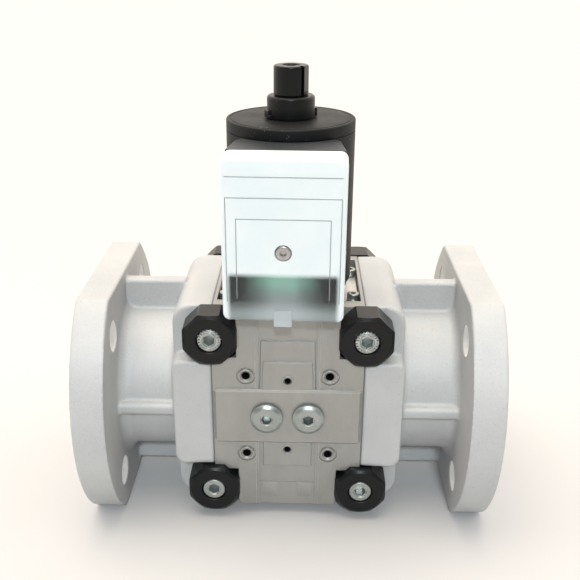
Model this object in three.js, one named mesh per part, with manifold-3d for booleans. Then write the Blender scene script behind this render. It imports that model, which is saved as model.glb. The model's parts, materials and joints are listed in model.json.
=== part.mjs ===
// Flanged gas solenoid valve, DN 50. Millimetres, +Z up, flow along +X.
// The whole valve hangs in one group whose own zero is the crossing of the pipe axis and the
// solenoid axis; the group is lifted so that the flats of the two flanges stand on z = 0.
import * as THREE from 'three';
import { mergeVertices } from 'three/addons/utils/BufferGeometryUtils.js';
import Module from 'manifold-3d';

const wasm = await Module();
wasm.setup();

// ---------------------------------------------------------------- driving dimensions
const GAP = 0.3;                 // clearance between touching pieces
const SIDES = { flange: 48, housing: 36, bore: 24, turned: 20, small: 12, hole: 8 };

const FACE_TO_FACE = 230;        // DN 50 PN 16 valve, flange face to flange face
const FLANGE = { radius: 82.5, thick: 18.2, flat: 67.5, boltCircle: 125, hole: 18 };
const BORE = 26.5;               // pipe bore radius
const NECK = 44;                 // neck radius
const PORT_INNER = 30;           // each port of the body is bored in from the seam to this plane
const RIB = { half: 4, top: 61.8, finHalf: 3.5, finReach: 49.5 };

const SEAM = 42;                 // plane between flange casting and valve body
const SHOULDER = { outer: 64.5, corner: 13 };
const BLOCK = { deck: 62, face: 40, belly: 52.6, bellyHalf: 33.2 };
const PLATE = { half: 28.3, bottom: 60.5 };
const BAND = { half: 17.2, face: 54.5, chamfer: 2 };
const POCKET = { x: 40, y: 32.5, floor: 53 };
const BEYOND = 90;               // a tool that has to run right through the valve reaches this far

const CLAMP = { x: 42.4, z: 48, acrossFlats: 29, face: 57.2, noseRadius: 13.2, nose: 2.2 };
const BOLT = {
  shank: 4, head: 6.5, headLength: 8, headFace: 56.6, end: 56, hole: 4.6, socket: 6, socketDepth: 4,
};

const PLUG = {
  x: 11.6, radius: 9.1, shank: 5.6, length: 18, height: 2.4, socket: 6, socketDepth: 3.2, holeFloor: 33,
};
const WASHER = 0.6;               // thickness of the sealing washer under each front plug
const TAPPED_FLOOR = 43;         // how near to the middle the small threaded holes reach
const TAPPED = [                 // threaded holes in the front and back plates: x, z, radius
  [-23.2, 25.1, 2.4], [23.2, 25.1, 2.4], [-23.2, -25.1, 2.4], [23.2, -25.1, 2.4],
  [0, 22.5, 1.9], [0, -22.5, 1.9],
];

const CHAMBER = { half: 30, reach: 34, wall: 26, low: -45, high: 44, sill: -6, lid: 2, mouth: 22 };
const SEAT = { bore: 21, recess: 25, recessFloor: -3, edge: 5, wall: 1, lip: 0.8 };
const SEAL = { inner: 18, outer: 23.5, top: 8 };
const DISC = { radius: 24.5, top: 12, bevel: 2.5, hub: 8, hubTop: 22 };
const STROKE = 8;
const STEM = { radius: 4, bottom: 12.3, top: 82 };
const SPRING = { radius: 12, wire: 0.8, low: 13.4, high: 51.8, turns: 5.5 };
const ARMATURE = { radius: 14.3, low: 72, high: 118 };
const BONNET = {
  halfX: 39.4, halfY: 27, thick: 3.7, corner: 6, screwX: 36.4, screwY: 19, screwHole: 2.4, screwDepth: 12,
};
const BONNET_SCREW = { shank: 1.9, length: 10, head: 3.5, height: 4, socket: 3, socketDepth: 2 };
const PORT_SEAL = { radius: 33, wire: 1.2, inner: 31.2, outer: 34.8, depth: 2.5 };
const BONNET_SEAL = { radius: 26, wire: 1.1, inner: 24.2, outer: 27.8, depth: 2.4 };
const STRAINER = { x: -60, thick: 1.6, rim: 4, bar: 1.5 };
const TUBE = {
  inner: 14.7, outer: 16, foot: 28, footLow: 57.3, footHigh: 64.7, top: 149, wall: 2.5, spigot: 6, tip: 159,
};

const HEAD_SWIVEL = THREE.MathUtils.degToRad(-2);
const HOUSING = { radius: 35.2, inner: 32.6, low: 65, high: 150.4, floor: 67.6, hole: 17 };
const HOUSING_CAP = { top: 156.5, hole: 7.2, round: 0.4, bevel: 1.4 };
const YOKE = { inner: 16.7, outer: 32.2, lowerTop: 71.6, upperLow: 144.4, upperTop: 148 };
const BOBBIN = { inner: 16.5, barrel: 18, outer: 30.5, low: 72, high: 144, flange: 2.4 };
const WINDING = 29.4;            // outside radius of the wound wire
const DAMPER = {
  radius: 13, low: 156.8, high: 168.4, floor: 159.5, lug: 14.3, lugRoot: 11, lugHalf: 3, lugHeight: 4.5,
};
const KNOB = {
  radius: 9.4, low: 168.7, high: 184, spigot: 4, foot: 160, edge: 0.8, socket: 5, socketDepth: 6,
  slotDepth: 2.4, slotHalf: 1, slotAngle: -48,
};

const BOX = { back: 51.1, low: 67, high: 150.3, halfFront: 30.2, halfRear: 27, rear: 29, wall: 3, boss: 4.5 };
const WIRE_OPENING = { half: 8, low: 79, high: 91 };
const ENTRY = { y: -41, z: 85, hole: 8.1, plug: 7.6, head: 9.2 };
const BOARD = { half: 24, front: 45.6, rear: 44, low: 72, high: 97, fixingX: 20, fixingZ: 93 };
const TERMINALS = { ways: 5, pitch: 8.4, front: 56, low: 76, high: 90, screwZ: 86 };
const GASKET = { half: 29.8, inner: 27.6, thick: 0.8 };
const COVER = { rear: 52.5, front: 68.4, half: 31, low: 65.3, high: 150.3, wall: 2, corner: 3.5 };
const COVER_SCREW = { z: 102.4, head: 4, shank: 1.9, length: 24, height: 2.7, socket: 3, socketDepth: 2 };
const TAB = { half: 4.7, low: 63, high: 71.5, face: 69.9 };

// ---------------------------------------------------------------- materials
const finish = (color, roughness, metalness, extra = {}) =>
  new THREE.MeshStandardMaterial({ color, roughness, metalness, ...extra });
const MATERIAL = {
  casting: () => finish(0xd3d2cd, 0.62, 0.35),
  dieCast: () => finish(0xaaa8a2, 0.45, 0.7),
  zinc: () => finish(0xc3c8c6, 0.28, 0.95),
  steel: () => finish(0x9b9c9e, 0.35, 0.95),
  black: () => finish(0x1b1a1a, 0.5, 0),
  rubber: () => finish(0x151515, 0.85, 0),
  copper: () => finish(0xa65a32, 0.4, 0.8),
  brass: () => finish(0xb99a4e, 0.35, 0.9),
  board: () => finish(0x1f6b45, 0.55, 0),
  nylon: () => finish(0x34423b, 0.6, 0),
  clear: () => finish(0xe3edef, 0.3, 0, { transparent: true, opacity: 0.75 }),
};

// ---------------------------------------------------------------- solids
function solidOf(geometry) {
  const bare = geometry.clone();
  bare.deleteAttribute('normal');
  bare.deleteAttribute('uv');
  const merged = mergeVertices(bare, 1e-4);
  return new wasm.Manifold(new wasm.Mesh({
    numProp: 3,
    vertProperties: Float32Array.from(merged.attributes.position.array),
    triVerts: Uint32Array.from(merged.index.array),
  }));
}

function geometryOf(solid) {
  const mesh = solid.getMesh();
  const geometry = new THREE.BufferGeometry();
  geometry.setAttribute('position', new THREE.BufferAttribute(mesh.vertProperties, 3));
  geometry.setIndex(new THREE.BufferAttribute(mesh.triVerts, 1));
  geometry.computeVertexNormals();
  return geometry;
}

const join = (...solids) => solids.reduce((sum, solid) => sum.add(solid));
const cut = (solid, ...tools) => tools.reduce((rest, tool) => rest.subtract(tool), solid);

function block(x0, x1, y0, y1, z0, z1) {
  const geometry = new THREE.BoxGeometry(x1 - x0, y1 - y0, z1 - z0);
  geometry.translate((x0 + x1) / 2, (y0 + y1) / 2, (z0 + z1) / 2);
  return solidOf(geometry);
}

function rod(axis, radius, from, to, [a, b] = [0, 0], sides = SIDES.turned) {
  const geometry = new THREE.CylinderGeometry(radius, radius, to - from, sides);
  const middle = (from + to) / 2;
  if (axis === 'x') geometry.rotateZ(-Math.PI / 2).translate(middle, a, b);
  if (axis === 'y') geometry.translate(a, middle, b);
  if (axis === 'z') geometry.rotateX(Math.PI / 2).translate(a, b, middle);
  return solidOf(geometry);
}

// A profile of [radius, z] points turned about Z. A profile that closes on itself makes a ring.
function turned(profile, sides = SIDES.turned) {
  const points = profile.map(([r, z]) => new THREE.Vector2(r, z));
  const geometry = new THREE.LatheGeometry(points, sides);
  geometry.rotateX(Math.PI / 2);
  return solidOf(geometry);
}

// Turned pieces are drawn along Z and laid along X by this.
const layAlongX = (solid) => solid.rotate([0, 90, 0]);

const ring = (inner, outer, low, high, sides = SIDES.turned) => turned(
  [[inner, low], [outer, low], [outer, high], [inner, high], [inner, low]], sides);

// An outline in X and Z pushed along Y from y0 to y1.
function prismY(shape, y0, y1, curveSegments = 6) {
  const geometry = new THREE.ExtrudeGeometry(shape, {
    depth: y1 - y0, bevelEnabled: false, curveSegments,
  });
  geometry.rotateX(Math.PI / 2).translate(0, y1, 0);
  return solidOf(geometry);
}

function roundedRectangle(x0, x1, z0, z1, corner) {
  const shape = new THREE.Shape();
  shape.absarc(x1 - corner, z1 - corner, corner, 0, Math.PI / 2);
  shape.absarc(x0 + corner, z1 - corner, corner, Math.PI / 2, Math.PI);
  shape.absarc(x0 + corner, z0 + corner, corner, Math.PI, Math.PI * 1.5);
  shape.absarc(x1 - corner, z0 + corner, corner, Math.PI * 1.5, Math.PI * 2);
  shape.closePath();
  return shape;
}

function polygonShape(sides, acrossFlats) {
  const radius = acrossFlats / 2 / Math.cos(Math.PI / sides);
  const corners = Array.from({ length: sides }, (_, i) => {
    const angle = ((i + 0.5) / sides) * Math.PI * 2;
    return new THREE.Vector2(radius * Math.cos(angle), radius * Math.sin(angle));
  });
  return new THREE.Shape(corners);
}

// A hexagonal or octagonal bar along Z, centred on the axis.
function bar(sides, acrossFlats, low, high) {
  const geometry = new THREE.ExtrudeGeometry(polygonShape(sides, acrossFlats), {
    depth: high - low, bevelEnabled: false,
  });
  geometry.translate(0, 0, low);
  return solidOf(geometry);
}

const quarters = (x, z) => [[-x, z], [x, z], [-x, -z], [x, -z]];

// A rod along Y from one depth to another, on the front side (-1) or the rear side (1).
const rodFromFace = (side, radius, near, far, at, sides) => (
  rod('y', radius, Math.min(side * near, side * far), Math.max(side * near, side * far), at, sides));

// ---------------------------------------------------------------- scene graph
const valve = new THREE.Group();
valve.position.z = FLANGE.flat;
const head = new THREE.Group();
head.rotation.z = HEAD_SWIVEL;
valve.add(head);

function piece(name, solid, material, parent = valve, place = {}) {
  const mesh = new THREE.Mesh(geometryOf(solid), material);
  mesh.name = name;
  mesh.position.set(place.x ?? 0, place.y ?? 0, place.z ?? 0);
  mesh.rotation.z = place.turn ?? 0;
  parent.add(mesh);
  return mesh;
}

// ---------------------------------------------------------------- flange castings
// Each casting is two nodes, the flange itself and the neck with its shoulder, which keeps the
// collision pieces of both simple enough to leave the bore and the bolt holes open.
const OUTER = -FACE_TO_FACE / 2;
const INNER = OUTER + FLANGE.thick;

function flangeDisc() {
  const disc = rod('x', FLANGE.radius, OUTER, INNER - GAP / 2, [0, 0], SIDES.flange)
    .intersect(block(OUTER - 1, INNER, -BEYOND, BEYOND, -FLANGE.flat, FLANGE.flat));
  const holeOffset = FLANGE.boltCircle / 2 / Math.SQRT2;
  const boltHoles = quarters(holeOffset, holeOffset)
    .map((at) => rod('x', FLANGE.hole / 2, OUTER - 1, INNER + 1, at, SIDES.small));
  return cut(disc, rod('x', BORE, OUTER - 1, INNER + 1, [0, 0], SIDES.bore), ...boltHoles);
}

function neckAndShoulder() {
  const start = INNER + GAP / 2;
  const seam = -SEAM - GAP / 2;
  const ribEnd = -SHOULDER.outer + 2;
  const neck = rod('x', NECK, start, ribEnd, [0, 0], SIDES.bore);
  const webs = join(
    block(start, ribEnd, -RIB.half, RIB.half, -RIB.top, RIB.top),
    block(start, ribEnd, -RIB.finReach, RIB.finReach, -RIB.finHalf, RIB.finHalf));
  const outline = roundedRectangle(-SHOULDER.outer, seam + SHOULDER.corner,
    -BLOCK.deck, BLOCK.deck, SHOULDER.corner);
  const keep = block(-SHOULDER.outer - 1, seam, -BEYOND, BEYOND, -BEYOND, BEYOND);
  const shoulder = join(
    prismY(outline, -BLOCK.face, BLOCK.face).intersect(keep),
    block(-SHOULDER.outer, seam, -BLOCK.belly, BLOCK.belly, -BLOCK.bellyHalf, BLOCK.bellyHalf));
  const boltGrooves = [CLAMP.z, -CLAMP.z]
    .map((z) => rod('y', BOLT.hole, -BEYOND, BEYOND, [-CLAMP.x, z], SIDES.hole));
  const bore = rod('x', BORE, start - 1, seam + 1, [0, 0], SIDES.bore);
  return cut(join(neck, webs, shoulder), bore, ...boltGrooves);
}

const disc = flangeDisc();
const neck = neckAndShoulder();
for (const [end, turn] of [['inlet', 0], ['outlet', Math.PI]]) {
  piece(`${end}_flange`, disc, MATERIAL.casting(), valve, { turn });
  piece(`${end}_neck`, neck, MATERIAL.casting(), valve, { turn });
}

// ---------------------------------------------------------------- valve body
function bodyShell() {
  const x = SEAM - GAP / 2;
  const core = block(-x, x, -BLOCK.face, BLOCK.face, -PLATE.bottom, BLOCK.deck);
  const bellyHalf = BLOCK.bellyHalf + 3;
  const belly = block(-x, x, -BLOCK.belly, BLOCK.belly, -bellyHalf, bellyHalf);
  const plate = block(-PLATE.half, PLATE.half, -BLOCK.belly, BLOCK.belly,
    -PLATE.bottom, BLOCK.deck - 1);
  const chamfer = new THREE.Shape([
    new THREE.Vector2(-x, -BAND.face + BAND.chamfer), new THREE.Vector2(-x + BAND.chamfer, -BAND.face),
    new THREE.Vector2(x - BAND.chamfer, -BAND.face), new THREE.Vector2(x, -BAND.face + BAND.chamfer),
    new THREE.Vector2(x, BAND.face - BAND.chamfer), new THREE.Vector2(x - BAND.chamfer, BAND.face),
    new THREE.Vector2(-x + BAND.chamfer, BAND.face), new THREE.Vector2(-x, BAND.face - BAND.chamfer),
  ]);
  const bandBar = new THREE.ExtrudeGeometry(chamfer, { depth: 2 * BAND.half, bevelEnabled: false });
  bandBar.translate(0, 0, -BAND.half);
  const nest = bar(8, CLAMP.acrossFlats + 2 * GAP, BLOCK.face, BEYOND);
  const clampNests = quarters(CLAMP.x, CLAMP.z).flatMap(([cx, cz]) => (
    [-90, 90].map((turn) => nest.rotate([turn, 0, 0]).translate([cx, 0, cz]))));
  return cut(join(core, belly, plate, solidOf(bandBar)), ...clampNests);
}

function ports() {
  return [-1, 1].map((side) => rod('x', BORE, Math.min(side * (SEAM + 1), side * PORT_INNER),
    Math.max(side * (SEAM + 1), side * PORT_INNER), [0, 0], SIDES.bore));
}

function bodyHollows() {
  const { half, reach, low, high, mouth } = CHAMBER;
  const grooves = [-1, 1].map((side) => (
    layAlongX(ring(PORT_SEAL.inner, PORT_SEAL.outer, -PORT_SEAL.depth, PORT_SEAL.depth, SIDES.bore))
      .translate([side * (SEAM - GAP / 2), 0, 0])));
  const bolts = quarters(CLAMP.x, CLAMP.z)
    .map((at) => rod('y', BOLT.hole, -BEYOND, BEYOND, at, SIDES.hole));
  const plugHoles = [-1, 1].flatMap((side) => [-PLUG.x, PLUG.x].map((x) => (
    rodFromFace(side, PLUG.shank + GAP, PLUG.holeFloor, BEYOND, [x, 0], SIDES.small))));
  const tapped = [-1, 1].flatMap((side) => TAPPED.map(([x, z, radius]) => (
    rodFromFace(side, radius, TAPPED_FLOOR, BEYOND, [x, z], SIDES.hole))));
  const screwHoles = quarters(BONNET.screwX, BONNET.screwY).map((at) => (
    rod('z', BONNET.screwHole, POCKET.floor - BONNET.screwDepth, POCKET.floor + 1, at, SIDES.hole)));
  return [
    block(-reach, reach, -half, half, low, high),
    ...ports(),
    rod('z', mouth, high - 1, POCKET.floor + 1),
    ring(BONNET_SEAL.inner, BONNET_SEAL.outer, POCKET.floor - BONNET_SEAL.depth, POCKET.floor + 1),
    block(-POCKET.x, POCKET.x, -POCKET.y, POCKET.y, POCKET.floor, BLOCK.deck + 1),
    ...grooves, ...bolts, ...plugHoles, ...tapped, ...screwHoles,
  ];
}

// The wall inside the body that parts the inlet chamber, below, from the outlet chamber, above.
// It is cast with the body and is a node of its own for the same reason as the necks.
function partition() {
  const { half, reach, wall, low, high, sill, lid } = CHAMBER;
  const x = reach - GAP;
  const y = half - GAP;
  return cut(
    block(-x, x, -y, y, low + GAP, high - GAP),
    block(-reach, wall, -half, half, low, sill),
    block(-wall, reach, -half, half, lid, high),
    ...ports(),
    rod('z', SEAT.bore, sill - 1, lid + 1),
    rod('z', SEAT.recess, SEAT.recessFloor, lid + 1));
}
piece('valve_body', cut(bodyShell(), ...bodyHollows()), MATERIAL.dieCast());
piece('seat_partition', partition(), MATERIAL.dieCast());

const torus = ({ radius, wire }) => new THREE.TorusGeometry(radius, wire, 6, SIDES.turned);
for (const [name, side] of [['inlet_o_ring', -1], ['outlet_o_ring', 1]]) {
  const x = side * (SEAM + GAP / 2 - PORT_SEAL.wire - 0.1);
  piece(name, solidOf(torus(PORT_SEAL).rotateY(Math.PI / 2)), MATERIAL.rubber(), valve, { x });
}

// The frame that carries the wire gauze of the inlet strainer: a rim and a cross.
function strainerFrame() {
  const { thick, rim, bar: half } = STRAINER;
  const outside = BORE - GAP;
  const reach = outside - rim / 2;
  return join(
    layAlongX(ring(outside - rim, outside, 0, thick, SIDES.bore)),
    block(0, thick, -reach, reach, -half, half),
    block(0, thick, -half, half, -reach, reach));
}
piece('strainer_frame', strainerFrame(), MATERIAL.steel(), valve, { x: STRAINER.x });

// ---------------------------------------------------------------- seat and moving valve set
const seatInside = SEAT.bore - SEAT.wall;
piece('seat_ring', turned([
  [seatInside, SEAT.recessFloor + GAP], [SEAT.recess - GAP, SEAT.recessFloor + GAP],
  [SEAT.recess - GAP, CHAMBER.lid], [SEAT.bore + SEAT.lip, SEAT.edge], [SEAT.bore, SEAT.edge],
  [seatInside, CHAMBER.lid], [seatInside, SEAT.recessFloor + GAP]]), MATERIAL.brass());
piece('disc_seal', ring(SEAL.inner, SEAL.outer, SEAT.edge + GAP, SEAL.top), MATERIAL.rubber());
const stemFit = STEM.radius + GAP;
piece('valve_disc', turned([
  [0, SEAL.top + GAP], [DISC.radius, SEAL.top + GAP], [DISC.radius, DISC.top - 1],
  [DISC.radius - DISC.bevel, DISC.top], [DISC.hub, DISC.top + 0.2], [DISC.hub, DISC.hubTop],
  [stemFit, DISC.hubTop], [stemFit, DISC.top], [0, DISC.top]]), MATERIAL.dieCast());
piece('valve_stem', turned([
  [0, STEM.bottom], [STEM.radius, STEM.bottom], [STEM.radius, STEM.top - 1],
  [STEM.radius - 1, STEM.top], [0, STEM.top]], SIDES.small), MATERIAL.steel());
piece('armature', turned([
  [stemFit, ARMATURE.low], [ARMATURE.radius - 1, ARMATURE.low], [ARMATURE.radius, ARMATURE.low + 1],
  [ARMATURE.radius, ARMATURE.high - 1], [ARMATURE.radius - 1, ARMATURE.high], [0, ARMATURE.high],
  [0, STEM.top + GAP], [stemFit, STEM.top + GAP], [stemFit, ARMATURE.low]]), MATERIAL.steel());

class Helix extends THREE.Curve {
  getPoint(t, target = new THREE.Vector3()) {
    const angle = t * SPRING.turns * Math.PI * 2;
    const z = THREE.MathUtils.lerp(SPRING.low, SPRING.high, t);
    return target.set(SPRING.radius * Math.cos(angle), SPRING.radius * Math.sin(angle), z);
  }
}
const wireSection = polygonShape(5, 2 * SPRING.wire);
piece('closing_spring', solidOf(new THREE.ExtrudeGeometry(wireSection, {
  extrudePath: new Helix(), steps: 55, curveSegments: 3, bevelEnabled: false,
})), MATERIAL.steel());

// ---------------------------------------------------------------- bonnet and guide tube
function bonnetPlate() {
  const low = POCKET.floor + GAP;
  const high = low + BONNET.thick;
  const shape = roundedRectangle(-BONNET.halfX, BONNET.halfX, -BONNET.halfY, BONNET.halfY, BONNET.corner);
  const geometry = new THREE.ExtrudeGeometry(shape, {
    depth: BONNET.thick, bevelEnabled: false, curveSegments: 3,
  });
  geometry.translate(0, 0, low);
  const holes = quarters(BONNET.screwX, BONNET.screwY)
    .map((at) => rod('z', BONNET.screwHole, low - 1, high + 1, at, SIDES.hole));
  const stemHole = rod('z', STEM.radius + 0.5, low - 1, high + 1, [0, 0], SIDES.small);
  return cut(solidOf(geometry), stemHole, ...holes);
}
piece('bonnet_plate', bonnetPlate(), MATERIAL.steel());
piece('bonnet_o_ring', solidOf(torus(BONNET_SEAL)), MATERIAL.rubber(), valve,
  { z: POCKET.floor - BONNET_SEAL.wire + 0.05 });

const bonnetTop = POCKET.floor + GAP + BONNET.thick;
function screwOfBonnet() {
  const { shank, length, head: radius, height, socket, socketDepth } = BONNET_SCREW;
  const blank = turned([
    [0, -length], [shank, -length], [shank, 0], [radius, 0], [radius, height - 0.5], [radius - 0.4, height],
    [0, height]], SIDES.small);
  return cut(blank, bar(6, socket, height - socketDepth, height + 1));
}
const bonnetScrew = screwOfBonnet();
quarters(BONNET.screwX, BONNET.screwY).forEach(([x, y], index) => {
  piece(`bonnet_screw_${index + 1}`, bonnetScrew, MATERIAL.zinc(), valve, { x, y, z: bonnetTop + GAP });
});

piece('guide_tube', turned([
  [stemFit + GAP, TUBE.footLow + GAP], [TUBE.foot, TUBE.footLow + GAP], [TUBE.foot, TUBE.footHigh],
  [TUBE.outer, TUBE.footHigh], [TUBE.outer, TUBE.top], [TUBE.spigot, TUBE.top], [TUBE.spigot, TUBE.tip],
  [0, TUBE.tip], [0, TUBE.top - TUBE.wall], [TUBE.inner, TUBE.top - TUBE.wall],
  [TUBE.inner, TUBE.footHigh - 3], [stemFit + GAP, TUBE.footHigh - 3],
  [stemFit + GAP, TUBE.footLow + GAP]]), MATERIAL.steel());
piece('fixed_core', turned([
  [0, ARMATURE.high + STROKE + 1], [TUBE.inner - GAP, ARMATURE.high + STROKE + 1],
  [TUBE.inner - GAP, TUBE.top - TUBE.wall - GAP], [0, TUBE.top - TUBE.wall - GAP]]), MATERIAL.steel());

// ---------------------------------------------------------------- damper and flow adjuster
function damperHousing() {
  const { radius, low, high, floor, lug, lugRoot, lugHalf, lugHeight } = DAMPER;
  const socket = TUBE.spigot + GAP;
  const bore = KNOB.spigot + GAP;
  const shell = turned([
    [socket, low], [radius, low], [radius, high - 1], [radius - 1, high], [bore, high], [bore, floor],
    [socket, floor], [socket, low]]);
  const lugs = [-1, 1].map((side) => block(Math.min(side * lugRoot, side * lug),
    Math.max(side * lugRoot, side * lug), -lugHalf, lugHalf, low, low + lugHeight));
  return join(shell, ...lugs);
}
piece('damper_housing', damperHousing(), MATERIAL.black());

function adjusterKnob() {
  const { radius, low, high, spigot, foot, edge, socket, socketDepth, slotDepth, slotHalf, slotAngle } = KNOB;
  const turnedKnob = turned([
    [0, foot], [spigot, foot], [spigot, low], [radius, low], [radius, high - edge],
    [radius - edge, high], [0, high]]);
  const slot = block(radius - slotDepth, radius + 1, -slotHalf, slotHalf, low + GAP, high + 1)
    .rotate([0, 0, slotAngle]);
  return cut(turnedKnob, bar(6, socket, high - socketDepth, high + 1), slot);
}
piece('flow_adjuster', adjusterKnob(), MATERIAL.black());

// ---------------------------------------------------------------- swivelling solenoid head
function solenoidHousing() {
  const shell = turned([
    [HOUSING.hole, HOUSING.low], [HOUSING.radius, HOUSING.low], [HOUSING.radius, HOUSING.high],
    [HOUSING.inner, HOUSING.high], [HOUSING.inner, HOUSING.floor], [HOUSING.hole, HOUSING.floor],
    [HOUSING.hole, HOUSING.low]], SIDES.housing);
  const { half, low, high } = WIRE_OPENING;
  return cut(shell, block(-half, half, -HOUSING.radius - 1, -HOUSING.inner + 4, low, high));
}
piece('solenoid_housing', solenoidHousing(), MATERIAL.black(), head);
function housingCap() {
  const { top, hole, round, bevel } = HOUSING_CAP;
  const low = HOUSING.high + GAP;
  return turned([
    [hole, low], [HOUSING.radius, low], [HOUSING.radius, top - bevel], [HOUSING.radius - round, top - round],
    [HOUSING.radius - bevel, top], [hole, top], [hole, low]], SIDES.housing);
}
piece('solenoid_cap', housingCap(), MATERIAL.black(), head);
piece('lower_yoke_plate', ring(YOKE.inner, YOKE.outer, HOUSING.floor + GAP, YOKE.lowerTop),
  MATERIAL.steel(), head);
piece('upper_yoke_plate', ring(YOKE.inner, YOKE.outer, YOKE.upperLow, YOKE.upperTop),
  MATERIAL.steel(), head);
const spoolLow = BOBBIN.low + BOBBIN.flange;
const spoolHigh = BOBBIN.high - BOBBIN.flange;
piece('coil_bobbin', turned([
  [BOBBIN.inner, BOBBIN.low], [BOBBIN.outer, BOBBIN.low], [BOBBIN.outer, spoolLow],
  [BOBBIN.barrel, spoolLow], [BOBBIN.barrel, spoolHigh], [BOBBIN.outer, spoolHigh],
  [BOBBIN.outer, BOBBIN.high], [BOBBIN.inner, BOBBIN.high], [BOBBIN.inner, BOBBIN.low]]),
MATERIAL.nylon(), head);
piece('coil_winding', ring(BOBBIN.barrel + GAP, WINDING, spoolLow + GAP, spoolHigh - GAP),
  MATERIAL.copper(), head);

// ---------------------------------------------------------------- terminal box
function boxBase() {
  const { back, low, high, halfFront, halfRear, rear, wall } = BOX;
  const outline = new THREE.Shape([
    new THREE.Vector2(-halfFront, -back), new THREE.Vector2(halfFront, -back),
    new THREE.Vector2(halfRear, -rear), new THREE.Vector2(halfRear - 4, -rear + 3),
    new THREE.Vector2(-halfRear + 4, -rear + 3), new THREE.Vector2(-halfRear, -rear),
  ]);
  const body = new THREE.ExtrudeGeometry(outline, { depth: high - low, bevelEnabled: false });
  body.translate(0, 0, low);
  const tray = block(-halfRear + 0.5, halfRear - 0.5, -back - 1, -HOUSING.radius - wall,
    low + wall, high - wall);
  const boss = rod('y', BOX.boss, -back + 0.5, -HOUSING.radius - 1.5, [0, COVER_SCREW.z], SIDES.small);
  const opening = WIRE_OPENING;
  return cut(join(cut(solidOf(body), tray), boss),
    rod('z', HOUSING.radius + GAP + 0.1, low - 1, high + 1, [0, 0], SIDES.housing),
    rod('y', COVER_SCREW.shank + GAP, -back - 1, -40, [0, COVER_SCREW.z], SIDES.hole),
    rod('x', ENTRY.hole, halfRear - 3, halfFront + 2, [ENTRY.y, ENTRY.z]),
    block(-opening.half, opening.half, -40, -30, opening.low, opening.high));
}
piece('terminal_box', boxBase(), MATERIAL.black(), head);

piece('cable_entry_plug', layAlongX(turned([
  [0, -3], [ENTRY.plug, -3], [ENTRY.plug, 2.4], [ENTRY.head, 2.4], [ENTRY.head, 3.2],
  [ENTRY.head - 0.6, 3.8], [0, 3.8]])), MATERIAL.black(), head, { x: 28.2, y: ENTRY.y, z: ENTRY.z });

function circuitBoard() {
  const { half, front, rear, low, high, fixingX, fixingZ } = BOARD;
  const fixings = [-fixingX, fixingX]
    .map((x) => rod('y', 1.6, -front - 1, -rear + 1, [x, fixingZ], SIDES.hole));
  return cut(block(-half, half, -front, -rear, low, high), ...fixings);
}
piece('circuit_board', circuitBoard(), MATERIAL.board(), head);

function terminalBlock() {
  const { ways, pitch, front, low, high, screwZ } = TERMINALS;
  const half = (ways * pitch) / 2;
  const centres = Array.from({ length: ways }, (_, way) => (way - (ways - 1) / 2) * pitch);
  const screwWells = centres.map((x) => rod('y', 2.6, -front - 1, -front + 4, [x, screwZ], SIDES.hole));
  const wireEntries = centres.map((x) => block(x - 2.6, x + 2.6, -front - 1, -front + 5, low - 1, low + 4));
  return cut(block(-half, half, -front, -BOARD.front - GAP, low, high), ...screwWells, ...wireEntries);
}
piece('terminal_block', terminalBlock(), MATERIAL.nylon(), head);

function coverGasket() {
  const { half, inner, thick } = GASKET;
  const shape = roundedRectangle(-half, half, BOX.low + 0.4, BOX.high - 0.4, COVER.corner);
  const opening = roundedRectangle(-inner, inner, BOX.low + 3, BOX.high - 3, 2);
  shape.holes.push(new THREE.Path(opening.getPoints(3).reverse()));
  return prismY(shape, -BOX.back - GAP - thick, -BOX.back - GAP, 3);
}
piece('cover_gasket', coverGasket(), MATERIAL.rubber(), head);

function terminalCover() {
  const { rear, front, half, low, high, wall, corner } = COVER;
  const shell = prismY(roundedRectangle(-half, half, low, high, corner), -front, -rear, 4);
  const inside = prismY(roundedRectangle(-half + wall, half - wall, low + wall, high - wall, corner - wall),
    -front + wall, -rear + 1, 3);
  const tab = block(-TAB.half, TAB.half, -TAB.face, -TAB.face + 3.5, TAB.low, TAB.high);
  const boss = rod('y', 5, -front + 1, -rear - 1, [0, COVER_SCREW.z], SIDES.small);
  return cut(join(cut(shell, inside), tab, boss),
    rod('y', COVER_SCREW.shank + GAP, -front - 1, -rear + 1, [0, COVER_SCREW.z], SIDES.hole),
    rod('y', COVER_SCREW.head + GAP, -front - 1, -front + 3.2, [0, COVER_SCREW.z], SIDES.small));
}
piece('terminal_cover', terminalCover(), MATERIAL.clear(), head);

// Screws lie along Y with the head towards -Y.
const screwAlongY = (profile, socket, depth, sides) => {
  const length = profile[profile.length - 1][1];
  return cut(turned(profile, sides), bar(6, socket, length - depth, length + 1)).rotate([90, 0, 0]);
};
piece('cover_screw', screwAlongY([
  [0, -COVER_SCREW.length], [COVER_SCREW.shank, -COVER_SCREW.length], [COVER_SCREW.shank, 0],
  [COVER_SCREW.head, 0], [COVER_SCREW.head, COVER_SCREW.height - 0.5],
  [COVER_SCREW.head - 0.6, COVER_SCREW.height], [0, COVER_SCREW.height]],
COVER_SCREW.socket, COVER_SCREW.socketDepth, SIDES.small),
MATERIAL.steel(), head, { y: -COVER.front + 2.9, z: COVER_SCREW.z });

// ---------------------------------------------------------------- clamps
function clampCap() {
  const { acrossFlats, face, noseRadius, nose } = CLAMP;
  const seat = BLOCK.face + GAP;
  const length = face - seat;
  const reach = acrossFlats / 2 / Math.cos(Math.PI / 8);
  const blank = turned([[0, 0], [reach + 0.2, 0], [reach + 0.2, length - nose], [noseRadius, length],
    [0, length]], 16);
  const pocketFloor = BOLT.headFace - BOLT.headLength - GAP - seat;
  return cut(bar(8, acrossFlats, 0, length).intersect(blank),
    rod('z', BOLT.hole, -1, length + 1, [0, 0], SIDES.hole),
    rod('z', BOLT.head + 0.6, pocketFloor, length + 1, [0, 0], SIDES.small + 2)).rotate([90, 0, 0]);
}

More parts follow.
